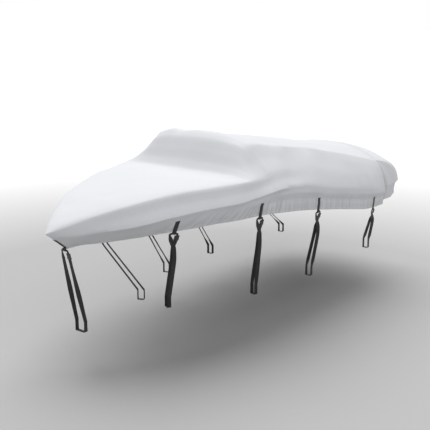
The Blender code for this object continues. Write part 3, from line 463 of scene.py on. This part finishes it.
def closed_sheet(name, outer, normals, material, uvs):
    """Outer and inner face of one sheet, joined all round their border."""
    rows, columns = outer.shape[:2]
    count = rows * columns
    inner = outer - normals * SHEET
    verts = np.concatenate([outer.reshape(-1, 3), inner.reshape(-1, 3)])
    faces = grid_faces(rows, columns, turned=True) + grid_faces(rows, columns, first=count)
    border = [(0, j) for j in range(columns)] + [(i, columns - 1) for i in range(1, rows)]
    border += [(rows - 1, j) for j in range(columns - 2, -1, -1)] + [(i, 0) for i in range(rows - 2, 0, -1)]
    ring = [i * columns + j for i, j in border]
    for here, after in zip(ring, ring[1:] + ring[:1]):
        faces.append((here, after, after + count, here + count))
    return add_mesh(name, verts, faces, material, {layer: np.tile(uv, (2, 1)) for layer, uv in uvs.items()})


# -------- the draped form
AFT_ROWS = [row[0] for row in SECTIONS]


def monotone(ys, x):
    """Cubic through a column of the section table, without overshoot between its rows."""
    xs, ys = np.asarray(AFT_ROWS), np.asarray(ys, float)
    run = np.diff(xs)
    rise = np.diff(ys) / run
    slope = np.zeros(len(xs))
    slope[0], slope[-1] = rise[0], rise[-1]
    for k in range(1, len(xs) - 1):
        if rise[k - 1] * rise[k] > 0.0:
            near, far = 2 * run[k] + run[k - 1], run[k] + 2 * run[k - 1]
            slope[k] = (near + far) / (near / rise[k - 1] + far / rise[k])
    x = np.asarray(x, float)
    k = np.clip(np.searchsorted(xs, x) - 1, 0, len(run) - 1)
    return hermite((x - xs[k]) / run[k], ys[k], run[k] * slope[k], ys[k + 1], run[k] * slope[k + 1])


def control_points(aft):
    """Array (stations, 8, 3): the points that each half section runs through."""
    aft = np.atleast_1d(np.asarray(aft, float))
    rake = monotone([row[1] for row in SECTIONS], aft)
    crown = monotone([row[2] for row in SECTIONS], aft)
    outs, ups = [np.zeros_like(aft)], [crown]
    for k in range(3, len(SECTIONS[0])):
        outs.append(monotone([row[k][0] for row in SECTIONS], aft))
        ups.append(monotone([row[k][1] for row in SECTIONS], aft))
    outs.insert(1, SHOULDER_OUT * outs[1])
    ups.insert(1, crown - SHOULDER_DROP * (crown - ups[1]))
    afts = [aft + rake * share for share in RAKE_SHARE]
    return np.stack([np.stack(afts, 1), np.stack(outs, 1), np.stack(ups, 1)], axis=2)


def half_sections(aft, lines):
    """Points (stations, lines, 3) on the outside of the cloth, with the distance out positive."""
    points = control_points(aft)
    mirrored = points[:, 1:2] * np.array([1.0, -1.0, 1.0])
    around = np.concatenate([mirrored, points, 2 * points[:, -1:] - points[:, -2:-1]], axis=1)
    chords = np.linalg.norm(np.diff(points, axis=1), axis=2, keepdims=True)
    loose = np.tile(1.0 - np.array(TURN), (len(points), 1))
    loose[:, int(RIDGE)] -= RIDGE_TURN * smoothstep(*TURNS_OVER, np.atleast_1d(aft))
    tangents = unit(around[:, 2:] - around[:, :-2]) * loose[:, :, None]
    lines = np.asarray(lines, float)
    k = np.clip(np.floor(lines).astype(int), 0, len(LINES) - 2)
    t = (lines - k)[None, :, None]
    leaving, arriving = chords[:, k] * tangents[:, k], chords[:, k] * tangents[:, k + 1]
    return hermite(t, points[:, k], leaving, points[:, k + 1], arriving)


def main_folds(side, aft, line):
    total = np.zeros(np.broadcast(aft, line).shape)
    for fold_side, aft_top, line_top, aft_low, line_low, half_width, depth in FOLDS:
        if fold_side == side:
            down = (line - line_top) / (line_low - line_top)
            middle = aft_top + down * (aft_low - aft_top)
            fade = smoothstep(0.0, 0.3, down) * smoothstep(0.0, 0.2, 1.0 - down)
            total += depth * bell(aft - middle, half_width) * fade
    return total


def scatter(draw, start, stop, ranges):
    """Creases from start to stop: where each one lies, then its draw from each further range."""
    at = start
    while at < stop:
        at += draw.uniform(*ranges[0])
        yield (at, *(draw.uniform(*span) for span in ranges[1:]))


def gathers(aft, height, seed):
    """Fine creases that rise from the drawn-in hem, leaning aft over the forward half."""
    draw = np.random.default_rng(seed)
    total = np.zeros_like(aft)
    for at, share, wide, tall, stray, bend in scatter(draw, *GATHERS_OVER, GATHERS):
        lean = GATHER_LEAN * (1.0 - smoothstep(*LEAN_FADES, at)) + stray
        strength = smoothstep(*GATHERS_GROW, at) * (1.0 - GATHERS_EASED * smoothstep(*GATHERS_EASE, at))
        middle = at + height * lean + bend * height * height
        rise = smoothstep(0.0, 1.0, 1.0 - height / tall)
        flank = bell(aft - middle, wide * (1.0 + height / tall))
        deep = share ** 1.3 * GATHER_DEEP * strength
        total -= np.where(np.abs(aft - middle) < 4 * wide, deep * flank * rise, 0.0)
    return total


def fans(aft, height):
    """The tabs draw the cloth into short fans of creases."""
    total = np.zeros_like(height)
    for at in TAB_AFT.values():
        for lean, deep in FAN:
            middle = at + lean * (height + 0.02)
            fade = smoothstep(0.0, 0.035, height) * smoothstep(0.0, 1.0, 1.0 - height / FAN_TALL)
            total -= deep * bell(aft - middle, 0.010 + 0.05 * height) * fade
    return total


def waves(x, y, high, size, seed):
    """Soft unevenness without repeats: a few long sine waves with seeded directions."""
    draw = np.random.default_rng(seed)
    total = np.zeros(np.broadcast(x, y).shape)
    for _ in range(WAVES):
        angle, phase = draw.uniform(0, math.pi), draw.uniform(0, 2 * math.pi)
        length = size * draw.uniform(0.6, 1.7)
        total += np.sin((x * math.cos(angle) + y * math.sin(angle)) * 2 * math.pi / length + phase)
    return high * (total / WAVES ** 0.5)


def ridges(line, rows):
    return sum(depth * bell(line - at, half_width) for at, half_width, depth in rows)


def turned_hem(height):
    return HEM_PROUD * smoothstep(HEM_DEEP + 0.003, HEM_DEEP - 0.001, height)


def grid_normals(points):
    along = np.gradient(points, axis=0)
    across = np.gradient(points, axis=1)
    return unit(np.cross(along, across))


def line_samples():
    lines = [0.0]
    for k, steps in enumerate(LINE_STEPS):
        lines += [k + (j + 1) / steps for j in range(steps)]
    return np.array(lines)


class Cloth:
    """The main cloth as a fine grid, from the port hem over the crown to the starboard hem."""

    def __init__(self):
        count = int(round((SEAM_AFT - AFT_ROWS[0]) / COLUMN))
        self.afts = np.linspace(AFT_ROWS[0], SEAM_AFT, count + 1)
        half = line_samples()
        self.signed = np.concatenate([-half[::-1], half[1:]])
        starboard = half_sections(self.afts, half)
        points = np.concatenate([starboard[:, ::-1] * [1, -1, 1], starboard[:, 1:]], axis=1)
        self.arc = lengths(points, axis=1)
        self.columns = points.shape[1]
        self.middle = self.columns // 2
        on_port = np.arange(self.columns)[None, :] <= self.middle
        self.height = np.where(on_port, self.arc, self.arc[:, -1:] - self.arc)
        at_stem = unit(points[0] - np.array(STEM_CENTRE))
        normals = grid_normals(points)
        normals[0] = at_stem
        self.points = points + normals * self.relief(points[:, :, 0])[:, :, None]
        self.normals = grid_normals(self.points)
        self.normals[0] = at_stem
        self.normals[-1, :, 0] = 0.0  # the cut edge lies in the seam plane
        self.normals[-1] = unit(self.normals[-1])

    def relief(self, aft):
        """How far the cloth stands out from the swept form. Sets self.crease, its share of painted shade."""
        afts, height = self.afts[:, None], self.height
        line = np.abs(self.signed)[None, :]
        push, fine = np.zeros_like(height), fans(afts, height)
        for side, seed in ((-1, 11), (1, 12)):
            mine = (np.sign(self.signed) == side)[None, :]
            push += np.where(mine, main_folds(side, afts, line), 0.0)
            fine += np.where(mine, gathers(aft, height, seed), 0.0)
        push += fine
        from_seam = SEAM_AFT - afts
        # painted shade: the troughs of the fine creases and the cloth near the seam
        self.crease = np.clip(smoothstep(*SEAM_SHADE, from_seam) - fine / CREASE_DEEP, 0.0, 1.0)
        calm = smoothstep(*STEM_CALM, afts)
        push += waves(aft, self.arc, *SLACK) * calm * smoothstep(0.02, 0.2, height)
        push += waves(aft, self.arc, *RIPPLE) * calm
        push += smoothstep(*TUCK_GROWS, afts) * ridges(line, TUCK_RIDGES)
        bow_half = smoothstep(*BULGE_GROWS, afts) * (1.0 - smoothstep(*BULGE_FADES, afts))
        push += bow_half * ridges(line, BULGE_RIDGES)
        push += turned_hem(height) * calm
        push += SEAM_PROUD * smoothstep(SEAM_WIDE + 0.004, SEAM_WIDE - 0.002, from_seam)
        for at in TAB_AFT.values():
            flat = bell(afts - at, 0.030) * smoothstep(TAB_LONG + 0.05, TAB_LONG, height)
            push *= 1.0 - TAB_CALMS * flat
        return push

    def at(self, side, aft, height):
        """A point of the finished cloth, this far above the hem along the cloth, and its normal."""
        i = float(np.interp(aft, self.afts, np.arange(len(self.afts))))
        low = int(min(math.floor(i), len(self.afts) - 2))
        columns = np.arange(self.middle + 1) if side < 0 else np.arange(self.columns - 1, self.middle - 1, -1)
        found = []
        for row in (low, low + 1):
            j = np.interp(height, self.height[row, columns], np.arange(len(columns)))
            k = int(min(math.floor(j), len(columns) - 2))
            t, a, b = j - k, columns[k], columns[k + 1]
            found.append([grid[row, a] * (1 - t) + grid[row, b] * t for grid in (self.points, self.normals)])
        t = i - low
        point, normal = (near * (1 - t) + far * t for near, far in zip(*found))
        return point, unit(normal)

    def build(self, material):
        along = np.broadcast_to(self.afts[:, None], self.height.shape)
        from_seam = SEAM_AFT - along
        near_seam = from_seam < self.height
        uvs = {
            "metres": pairs(along, self.arc - self.arc[:, self.middle][:, None]),
            "edge": pairs(
                np.where(near_seam, from_seam + STITCH_AT - SEAM_STITCH_AT, self.height),
                np.where(near_seam, self.arc, along),
            ),
            "crease": pairs(self.crease, 0 * self.crease),
        }
        return closed_sheet("cover_main_cloth", self.points, self.normals, material, uvs)


# -------- stern hood
def hood_grid(shares):
    """Points (rows, columns, 3) from the hood's hem up over the rim to the seam's arch."""
    lines = np.linspace(0.0, HEM, 701)
    seam = half_sections(SEAM_AFT, lines)[0]

    def seam_at(line):
        return np.array([np.interp(line, lines, seam[:, k]) for k in range(3)])

    to_ridge = seam[lines <= RIDGE]
    rim_out, ridge_out = seam_at(BULGE)[1], seam_at(RIDGE)[1]
    grid = np.zeros((HOOD_SKIRT_ROWS + 1 + HOOD_ROWS, len(shares), 3))
    for j, share in enumerate(shares):
        side, angle = (-1.0 if share < 0 else 1.0), abs(share) * math.pi / 2
        aft = HOOD_DEPTH * max(math.cos(angle), 0.0) ** (2 / HOOD_SQUARE)
        out = rim_out * math.sin(angle) ** (2 / HOOD_SQUARE)
        rim_up = HOOD_RIM_UP[0] + (HOOD_RIM_UP[1] - HOOD_RIM_UP[0]) * math.cos(angle)
        near_seam = float(smoothstep(1.0 - HOOD_BLEND, 1.0, abs(share)))
        top_out = out / rim_out * ridge_out
        top_up = np.interp(top_out, to_ridge[:, 1], to_ridge[:, 2])
        for i in range(len(grid)):
            if i <= HOOD_SKIRT_ROWS:
                down = 1.0 - i / HOOD_SKIRT_ROWS
                inset = HOOD_SKIRT_IN * float(np.interp(down, *HOOD_DRAWN_IN))
                body = (aft - inset * math.cos(angle), out * (1 - inset / rim_out), rim_up - HOOD_SKIRT_DROP * down)
                edge = seam_at(np.interp(down, *HOOD_SEAM_LINE))
            else:
                climb = (i - HOOD_SKIRT_ROWS) / HOOD_ROWS
                turn = climb * math.pi / 2
                spread, rise = math.cos(turn), math.sin(turn)
                body = (aft * spread, top_out + (out - top_out) * spread, rim_up + (top_up - rim_up) * rise)
                edge = seam_at(BULGE + (RIDGE - BULGE) * climb)
            point = np.array(body) * (1 - near_seam) + np.array([0.0, edge[1], edge[2]]) * near_seam
            x = 0.0 if abs(share) >= 1.0 else max(body[0], 0.0)
            grid[i, j] = (SEAM_AFT + HOOD_GAP + x, point[1] * side, point[2])
    return grid


def outward_normals(grid):
    normals = grid_normals(grid)
    return -normals if normals[2, HOOD_COLUMNS // 2, 0] < 0 else normals


def build_hood(material):
    even = np.linspace(-1.0, 1.0, HOOD_COLUMNS + 1)
    grid = hood_grid(np.sign(even) * (1 - (1 - np.abs(even)) ** 1.25))
    height = lengths(grid)
    along = np.broadcast_to(lengths(grid[HOOD_SKIRT_ROWS]), height.shape)
    above_rim = height - height[HOOD_SKIRT_ROWS]
    push = waves(along, height, *HOOD_SLACK) + waves(along, height, *HOOD_RIPPLE)
    push += RIM_PROUD * bell(above_rim, RIM_HALF)
    crease = np.zeros_like(height)
    draw = np.random.default_rng(31)
    for at, share, wide, tall, stray in scatter(draw, 0.0, along.max(), HOOD_GATHERS):
        fade = smoothstep(0.0, 1.0, 1.0 - height / tall)
        trough = HOOD_GATHER_DEEP * share * bell(along - at - stray * height, wide) * fade
        push -= trough
        crease += trough / CREASE_DEEP
    for at, share, wide in scatter(draw, 0.0, along.max(), HOOD_CREASES):
        push -= HOOD_CREASE_DEEP * share * bell(along - at, wide) * bell(above_rim - 0.04, 0.06)
    push += turned_hem(height)
    push *= smoothstep(0.0, 0.05, np.abs(grid[:, :, 0] - SEAM_AFT))
    points = grid + outward_normals(grid) * push[:, :, None]
    # painted shade: darker colour in the gathers' troughs and near the seam
    dust_and_painted_shade = np.clip(crease + smoothstep(*HOOD_SEAM_SHADE, points[:, :, 0] - SEAM_AFT), 0.0, 1.0)
    uvs = {"metres": pairs(along, height), "edge": pairs(height, along), "crease": pairs(dust_and_painted_shade, 0 * dust_and_painted_shade)}
    return closed_sheet("cover_hood_cloth", points, outward_normals(points), material, uvs)


# -------- webbing
def web_band(name, tracks, material):
    """Bands of webbing in one piece. A track is rows of points and face normals, and its thickness."""
    verts, faces, uvs = [], [], []
    for points, normals, thick in tracks:
        points, normals = np.asarray(points, float), np.asarray(normals, float)
        rows, columns = points.shape[:2]
        first, ring_size = len(verts), 2 * columns + 2
        across = unit(points[:, -1] - points[:, 0]) * thick / 2 * EDGE_ROUND
        length = lengths(points[:, columns // 2])
        flat = np.linspace(0.0, WEBBING, columns)
        lift = np.full((columns, 1), thick / 2)
        lift[[0, -1]] *= EDGE_THIN
        for i in range(rows):
            front, back = points[i] + normals[i] * lift, points[i] - normals[i] * lift
            verts += [*front, points[i, -1] + across[i], *back[::-1], points[i, 0] - across[i]]
            uvs += [(w, length[i]) for w in (*flat, WEBBING, *flat[::-1], 0.0)]
        for i in range(rows - 1):
            a, b = first + i * ring_size, first + (i + 1) * ring_size
            for j in range(ring_size):
                m = (j + 1) % ring_size
                faces.append((a + j, b + j, b + m, a + m))
        for i, turned in ((0, False), (rows - 1, True)):
            ring = [first + i * ring_size + j for j in range(ring_size)]
            # the band's cut end, closed column by column
            cut = [(ring[j], ring[j + 1], ring[-3 - j], ring[-2 - j]) for j in range(columns - 1)]
            cut += [(ring[-1], ring[0], ring[-2]), (ring[columns - 1], ring[columns], ring[columns + 1])]
            faces += [face[::-1] if turned else face for face in cut]
    piece = add_mesh(name, verts, faces, material, {"metres": uvs})
    return piece


def side_and_key(name):
    return (1.0 if name.startswith("starboard") else -1.0), name.replace("starboard", "port")


def hem_frame(name):
    """Where a loop hangs: origin at its top, then unit vectors along, down and out of the cloth."""
    if name == "bow":
        origin = half_sections(AFT_ROWS[0], [BOW_TAB_LINES[-1]])[0, 0]
        down = unit(BOW_LOOP_DOWN)
        along, away = np.array([0.0, -1.0, 0.0]), np.array([-1.0, 0.0, 0.0])
    else:
        side, key = side_and_key(name)
        aft = TAB_AFT[key]
        near = half_sections([aft - WEBBING / 2, aft, aft + WEBBING / 2], [6.5, HEM]) * [1, side, 1]
        origin, down = near[1, 1], unit(near[1, 1] - near[1, 0])
        along, away = near[2, 1] - near[0, 1], np.array([0.0, side, 0.0])
    along = unit(along - down * np.dot(along, down))
    out = np.cross(along, down)
    return origin, along, down, out if np.dot(out, away) > 0 else -out


def smooth_track(points, count):
    """Evenly spaced points on a Catmull-Rom curve through the given ones."""
    points = np.asarray(points, float)
    padded = np.vstack([2 * points[0] - points[1], points, 2 * points[-1] - points[-2]])
    fine = []
    for k in range(1, len(padded) - 2):
        p0, p1, p2, p3 = padded[k - 1:k + 3]
        for t in np.linspace(0, 1, 12, endpoint=False):
            bend = (2 * p0 - 5 * p1 + 4 * p2 - p3) * t**2 + (3 * p1 - p0 - 3 * p2 + p3) * t**3
            fine.append(0.5 * (2 * p1 + (p2 - p0) * t + bend))
    fine = np.array(fine + [points[-1]])
    length = lengths(fine)
    at = np.linspace(0, length[-1], count)
    return np.stack([np.interp(at, length, fine[:, k]) for k in range(fine.shape[1])], axis=1)


def tab_off(name):
    return BOW_TAB_OFF if name == "bow" else TAB_OFF


def stem_place(step, shift, out):
    """A point of the bow tab, which lies round the stem, and the way it faces."""
    line = BOW_TAB_LINES[0] + (BOW_TAB_LINES[1] - BOW_TAB_LINES[0]) * step
    near, far = half_sections([AFT_ROWS[0], AFT_ROWS[0] + 0.065], [line])[:, 0]
    flank = unit(far - near) * abs(shift) * [1, -math.copysign(1.0, shift), 1]
    off = BOW_TAB_OFF + 0.001 - 0.0035 * bell(shift, 0.006)
    return near + flank + out * off, unit(out + [0.0, -0.9 * np.clip(shift / 0.008, -1, 1), 0.0])


def build_tab(cloth, name, material):
    """Webbing doubled over: up the outside of the skirt, and open round the strap below the hem."""
    origin, along, down, out = hem_frame(name)
    side, key = side_and_key(name)
    off = tab_off(name)
    mid = off + TAB_THICK / 2
    reach = EYE_DEEP / 2 + WEB_THICK / 2
    # the loop's inner half as (down, out), then its outer half, which mirrors it
    inner = [
        (0.003, off + WEB_THICK / 2), (0.007, mid - reach * 0.6), (0.013, mid - reach), (0.026, mid - reach),
        (0.033, mid - reach * 0.85), (EYE_BOTTOM + WEB_THICK / 2, mid - reach * 0.3),
    ]
    outer = [(drop, 2 * mid - lift) for drop, lift in inner[::-1]]
    outer[-1] = (0.003, off + 1.5 * WEB_THICK)
    lateral = np.linspace(-1.0, 1.0, 11) * (WEBBING / 2 - TAB_MARGIN)
    points, normals = [], []

    def sewn_part(steps, layer, facing):
        """step runs 0 at the upper end to 1 just above the loop."""
        for step in steps:
            row, ways = [], []
            for shift in lateral:
                if name == "bow":
                    point, way = stem_place(step, shift, out)
                else:
                    point, way = cloth.at(side, TAB_AFT[key] + shift, TAB_LONG * (1 - step) + 0.003 * step)
                    point = point + way * 0.0010
                row.append(point + way * WEB_THICK * (0.5 + layer))
                ways.append(way * facing)
            points.append(row)
            normals.append(ways)

    sewn_part(np.linspace(0.0, 1.0, 18), 0, -1)
    loop = smooth_track(inner + outer, 40)
    for (drop, lift), (dd, dl) in zip(loop, np.gradient(loop, axis=0)):
        if drop >= 0.0045:
            points.append([origin + along * shift + down * drop + out * lift for shift in lateral])
            normals.append([unit(down * dl - out * dd)] * len(lateral))
    sewn_part(np.linspace(1.0, 0.0, 18), 1, 1)
    piece = web_band("tab_web_" + name, [(points, normals, WEB_THICK * 0.94)], material)
    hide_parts("tab_" + name)


def bight_of(name):
    """The strap's bight at the foot: its middle, half width, and unit vectors along and outboard."""
    if name == "bow":
        lengthwise, outboard = np.array([1.0, 0.0, 0.0]), np.array([0.0, -1.0, 0.0])
        return np.array([BOW_BIGHT_AFT, 0.0, 0.0]), BOW_BIGHT_WIDE / 2, lengthwise, outboard
    side, key = side_and_key(name)
    toe = math.radians(BIGHT_TOE_OUT[key])
    lengthwise = np.array([math.cos(toe), side * math.sin(toe), 0.0])
    outboard = np.array([-math.sin(toe), side * math.cos(toe), 0.0])
    return np.array([BIGHT_AT[key][0], BIGHT_AT[key][1] * side, 0.0]), BIGHT_WIDE / 2, lengthwise, outboard


def half_width_below(distance):
    return (ARCH_END + (WEBBING - ARCH_END) * float(smoothstep(0.0, LEG_OPENS, distance))) / 2


def leg_path(start, finish, outboard, knee_out, apart):
    """From the arch to the bight by way of the knee: the point at a distance, and the length."""
    top = start - apart
    knee = top + (finish - top) * KNEE_DOWN + outboard * knee_out
    upper, lower = unit(knee - top), unit(finish - knee)
    to_knee = np.linalg.norm(knee - top)

    def point(distance):
        closing = apart * (1.0 - float(smoothstep(0.0, LEGS_MEET, distance)))
        t = float(np.clip((distance - to_knee + KNEE_ROUND) / (2 * KNEE_ROUND), 0.0, 1.0))
        if t in (0.0, 1.0):
            return closing + knee + (lower if t else upper) * (distance - to_knee)
        return closing + knee - upper * KNEE_ROUND * (1 - t) ** 2 + lower * KNEE_ROUND * t**2

    return point, to_knee + np.linalg.norm(finish - knee)


def build_strap(name, web, buckle_mesh):
    """A strap from its buckle round the bight, through the tab's loop and back, and the buckle."""
    origin, along, down, out = hem_frame(name)
    middle = origin + out * (tab_off(name) + TAB_THICK / 2)
    crest = EYE_BOTTOM - CLEAR - ARCH_BUNCH / 2
    bight, half_bight, lengthwise, outboard = bight_of(name)
    stand_off = half_bight + CLEAR + WEB_THICK / 2
    low, high = BIGHT_UP[0] - CLEAR - WEB_THICK / 2, BIGHT_UP[1]
    up = np.array([0.0, 0.0, 1.0])
    key = side_and_key(name)[1]
    twist, (fore_knee, aft_knee) = math.radians(LEG_TWIST[key]), KNEE_OUT[key]

    def arch(degrees, side):
        a = math.radians(degrees)
        centre = middle + along * side * (ARCH_HALF + ARCH_RADIUS * math.sin(a))
        centre = centre + down * (crest + ARCH_RADIUS * (1 - math.cos(a)))
        half = (ARCH_BUNCH + (ARCH_END - ARCH_BUNCH) * float(smoothstep(0, 90, degrees))) / 2
        return centre, down * math.cos(a) - along * side * math.sin(a), half

    def leg(path, facing, skip, count):
        rows = []
        for distance in np.linspace(skip, path[1], count + 1):
            turned = float(smoothstep(0.02 + skip / path[1], 1.0, distance / path[1]))
            wide = unit(facing * (1 - turned) + lengthwise * turned)
            angle = twist * float(smoothstep(TWIST_FROM, TWIST_TO, distance))
            angle *= float(smoothstep(0.0, TWIST_TO - TWIST_FROM, path[1] - distance))
            wide = wide * math.cos(angle) + outboard * math.sin(angle)
            rows.append((path[0](distance), wide, half_width_below(distance)))
        return rows

    aft_end, fore_end = arch(90, 1)[0], arch(90, -1)[0]
    foot_side = 1 if name == "bow" else -1
    foot, fore_foot = (bight + outboard * stand_off * side * foot_side + up * high for side in (1, -1))
    apart = (aft_end - fore_end) / 2 if name != "bow" else np.zeros(3)
    path = leg_path(aft_end, foot, outboard, aft_knee, apart)
    below = BUCKLE_BELOW + BUCKLE_LONG
    heading = unit(path[0](below) - aft_end)
    buckle = aft_end + heading * BUCKLE_BELOW
    across = unit(along - heading * np.dot(along, heading))

    def by_buckle(distance, width_at):
        return buckle + heading * distance, across, half_width_below(width_at)

    rows = [by_buckle(BUCKLE_LONG - WEB_IN_BUCKLE, below), by_buckle(BUCKLE_LONG + 0.006, below)]
    rows += leg(path, across, below + 0.022, 34)
    for side, angles in ((foot_side, (0, 22, 45, 68, 90)), (-foot_side, (90, 68, 45, 22, 0))):
        for a in map(math.radians, angles):
            away = outboard * side * (stand_off - BIGHT_CORNER * (1 - math.cos(a)))
            rows.append((bight + away + up * (low + BIGHT_CORNER * (1 - math.sin(a))), lengthwise, WEBBING / 2))
    rows += leg(leg_path(fore_end, fore_foot, outboard, fore_knee, -apart), along, 0.008, 40)[::-1]
    quarter = (0, 15, 30, 45, 60, 75, 90)
    rows += [arch(degrees, -1) for degrees in quarter[::-1]]
    crossing = middle + down * crest
    rows += [(crossing + along * ARCH_HALF * t, down, ARCH_BUNCH / 2) for t in np.linspace(-0.9, 0.9, 9)]
    rows += [arch(degrees, 1) for degrees in quarter]
    rows += [by_buckle(-0.007, BUCKLE_BELOW * 0.5), by_buckle(-0.001, BUCKLE_BELOW)]
    rows.append(by_buckle(WEB_IN_BUCKLE, BUCKLE_BELOW))
    face = np.cross(heading, across)
    inward = face if np.dot(face, out) < 0 else -face
    # the webbing's end is folded back under the buckle's lower bar and sewn down
    tail = []
    for k in range(TAIL_ROWS):
        point, _, half = by_buckle(BUCKLE_LONG + 0.002 + TAIL_STEP * k, below + TAIL_STEP * k)
        tail.append((point + inward * WEB_THICK * 1.05, across, half - WEB_MARGIN))
    piece = web_band("strap_web_" + name, [band_track(rows, name), band_track(tail, name)], web)
    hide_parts("strap_" + name)
    body = bpy.data.objects.new("buckle_clip_" + name, buckle_mesh)
    axes = Matrix((Vector(heading), Vector(across), Vector(face))).transposed().to_4x4()
    body.matrix_world = Matrix.Translation(Vector(buckle - MOUNT)) @ axes
    scene.collection.objects.link(body)
    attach(body, "root")
    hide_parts("buckle_" + name)


def band_track(rows, name):
    """Rows of points and normals for a band through (centre, across, half width).

    Where the band is narrower than the webbing, it is gathered into soft pleats.
    """
    steps = unit(np.diff([row[0] for row in rows], axis=0))
    shifts = np.linspace(-1.0, 1.0, 17)
    turns = shifts * PLEAT_TURNS * math.pi + 0.7 * sum(map(ord, name))
    points, normals, last = [], [], None
    for k, (centre, across, half) in enumerate(rows):
        ahead = unit(steps[max(k - 1, 0)] + steps[min(k, len(steps) - 1)])
        across = unit(across - ahead * np.dot(across, ahead))
        if last is not None and np.dot(across, last) < 0:
            across = -across
        last = across
        face = np.cross(ahead, across)
        high = PLEAT_HIGH * (1.0 - 2 * half / WEBBING)
        slope = high * PLEAT_TURNS * math.pi / half * np.cos(turns)
        pleats = face * (high * np.sin(turns))[:, None]
        points.append(centre + across * (half - WEB_MARGIN) * shifts[:, None] + pleats)
        normals.append(unit(face - across * slope[:, None]))
    return points, normals, WEB_THICK


# -------- buckle
def prism(bm, outline, low, high):
    """An upright prism over a closed outline of (along, across)."""
    bottom = [bm.verts.new((x, y, low)) for x, y in outline]
    top = [bm.verts.new((x, y, high)) for x, y in outline]
    bm.faces.new(bottom[::-1])
    bm.faces.new(top)
    for k in range(len(outline)):
        m = (k + 1) % len(outline)
        bm.faces.new((bottom[k], bottom[m], top[m], top[k]))


def make_buckle_mesh(material):
    """Side-release buckle: a socket with open sides, and a plug whose two prongs show in them."""
    bm = bmesh.new()
    thick, wide = BUCKLE_THICK / 2, BUCKLE_WIDE / 2
    for body, sunk in ((SOCKET, 0.0003), (PLUG, 0.0009)):
        half = [(x, wide - inset) for x, inset in body]
        other_half = [(x, -y) for x, y in reversed(half) if y > 0.0]
        prism(bm, half + other_half, sunk - thick, thick - sunk)
    for side, prong in ((-1, PRONG[::-1]), (1, PRONG)):
        prism(bm, [(x, (wide - inset) * side) for x, inset in prong], -PRONG_HALF, PRONG_HALF)
    angles = np.linspace(0, 2 * math.pi, PAD_SIDES, endpoint=False)
    pad = [(PAD_AT + PAD_LONG * math.cos(a), PAD_WIDE * math.sin(a)) for a in angles]
    for level in (thick - 0.0008, -thick + 0.0001):
        prism(bm, pad, level, level + PAD_HIGH)
    for start, long, inset, sunk in BARS:
        y = wide - inset
        prism(bm, [(start, -y), (start + long, -y), (start + long, y), (start, y)], sunk - thick, thick - sunk)
    bmesh.ops.recalc_face_normals(bm, faces=bm.faces)
    sharp = [e for e in bm.edges if len(e.link_faces) == 2 and e.calc_face_angle(0) > 0.6]
    bmesh.ops.bevel(bm, geom=sharp, offset=0.0005, segments=2, affect="EDGES", profile=0.6, clamp_overlap=True)
    mesh = bpy.data.meshes.new("side_release_buckle")
    bm.to_mesh(mesh)
    bm.free()
    mesh.materials.append(material)
    mesh.shade_smooth()
    mesh.set_sharp_from_angle(angle=math.radians(35))
    return mesh


def main():
    make_camera()
    make_floor()
    make_light()
    cloth_look, web, plastic = cloth_material(), webbing_material(), plastic_material()
    cloth = Cloth()
    main_piece = cloth.build(cloth_look)
    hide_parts("cover_main")
    hood = build_hood(cloth_look)
    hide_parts("cover_hood")
    buckle_mesh = make_buckle_mesh(plastic)
    names = ["bow"] + [key.replace("port", side) for side in ("port", "starboard") for key in TAB_AFT]
    for name in names:
        build_tab(cloth, name, web)
        build_strap(name, web, buckle_mesh)


main()
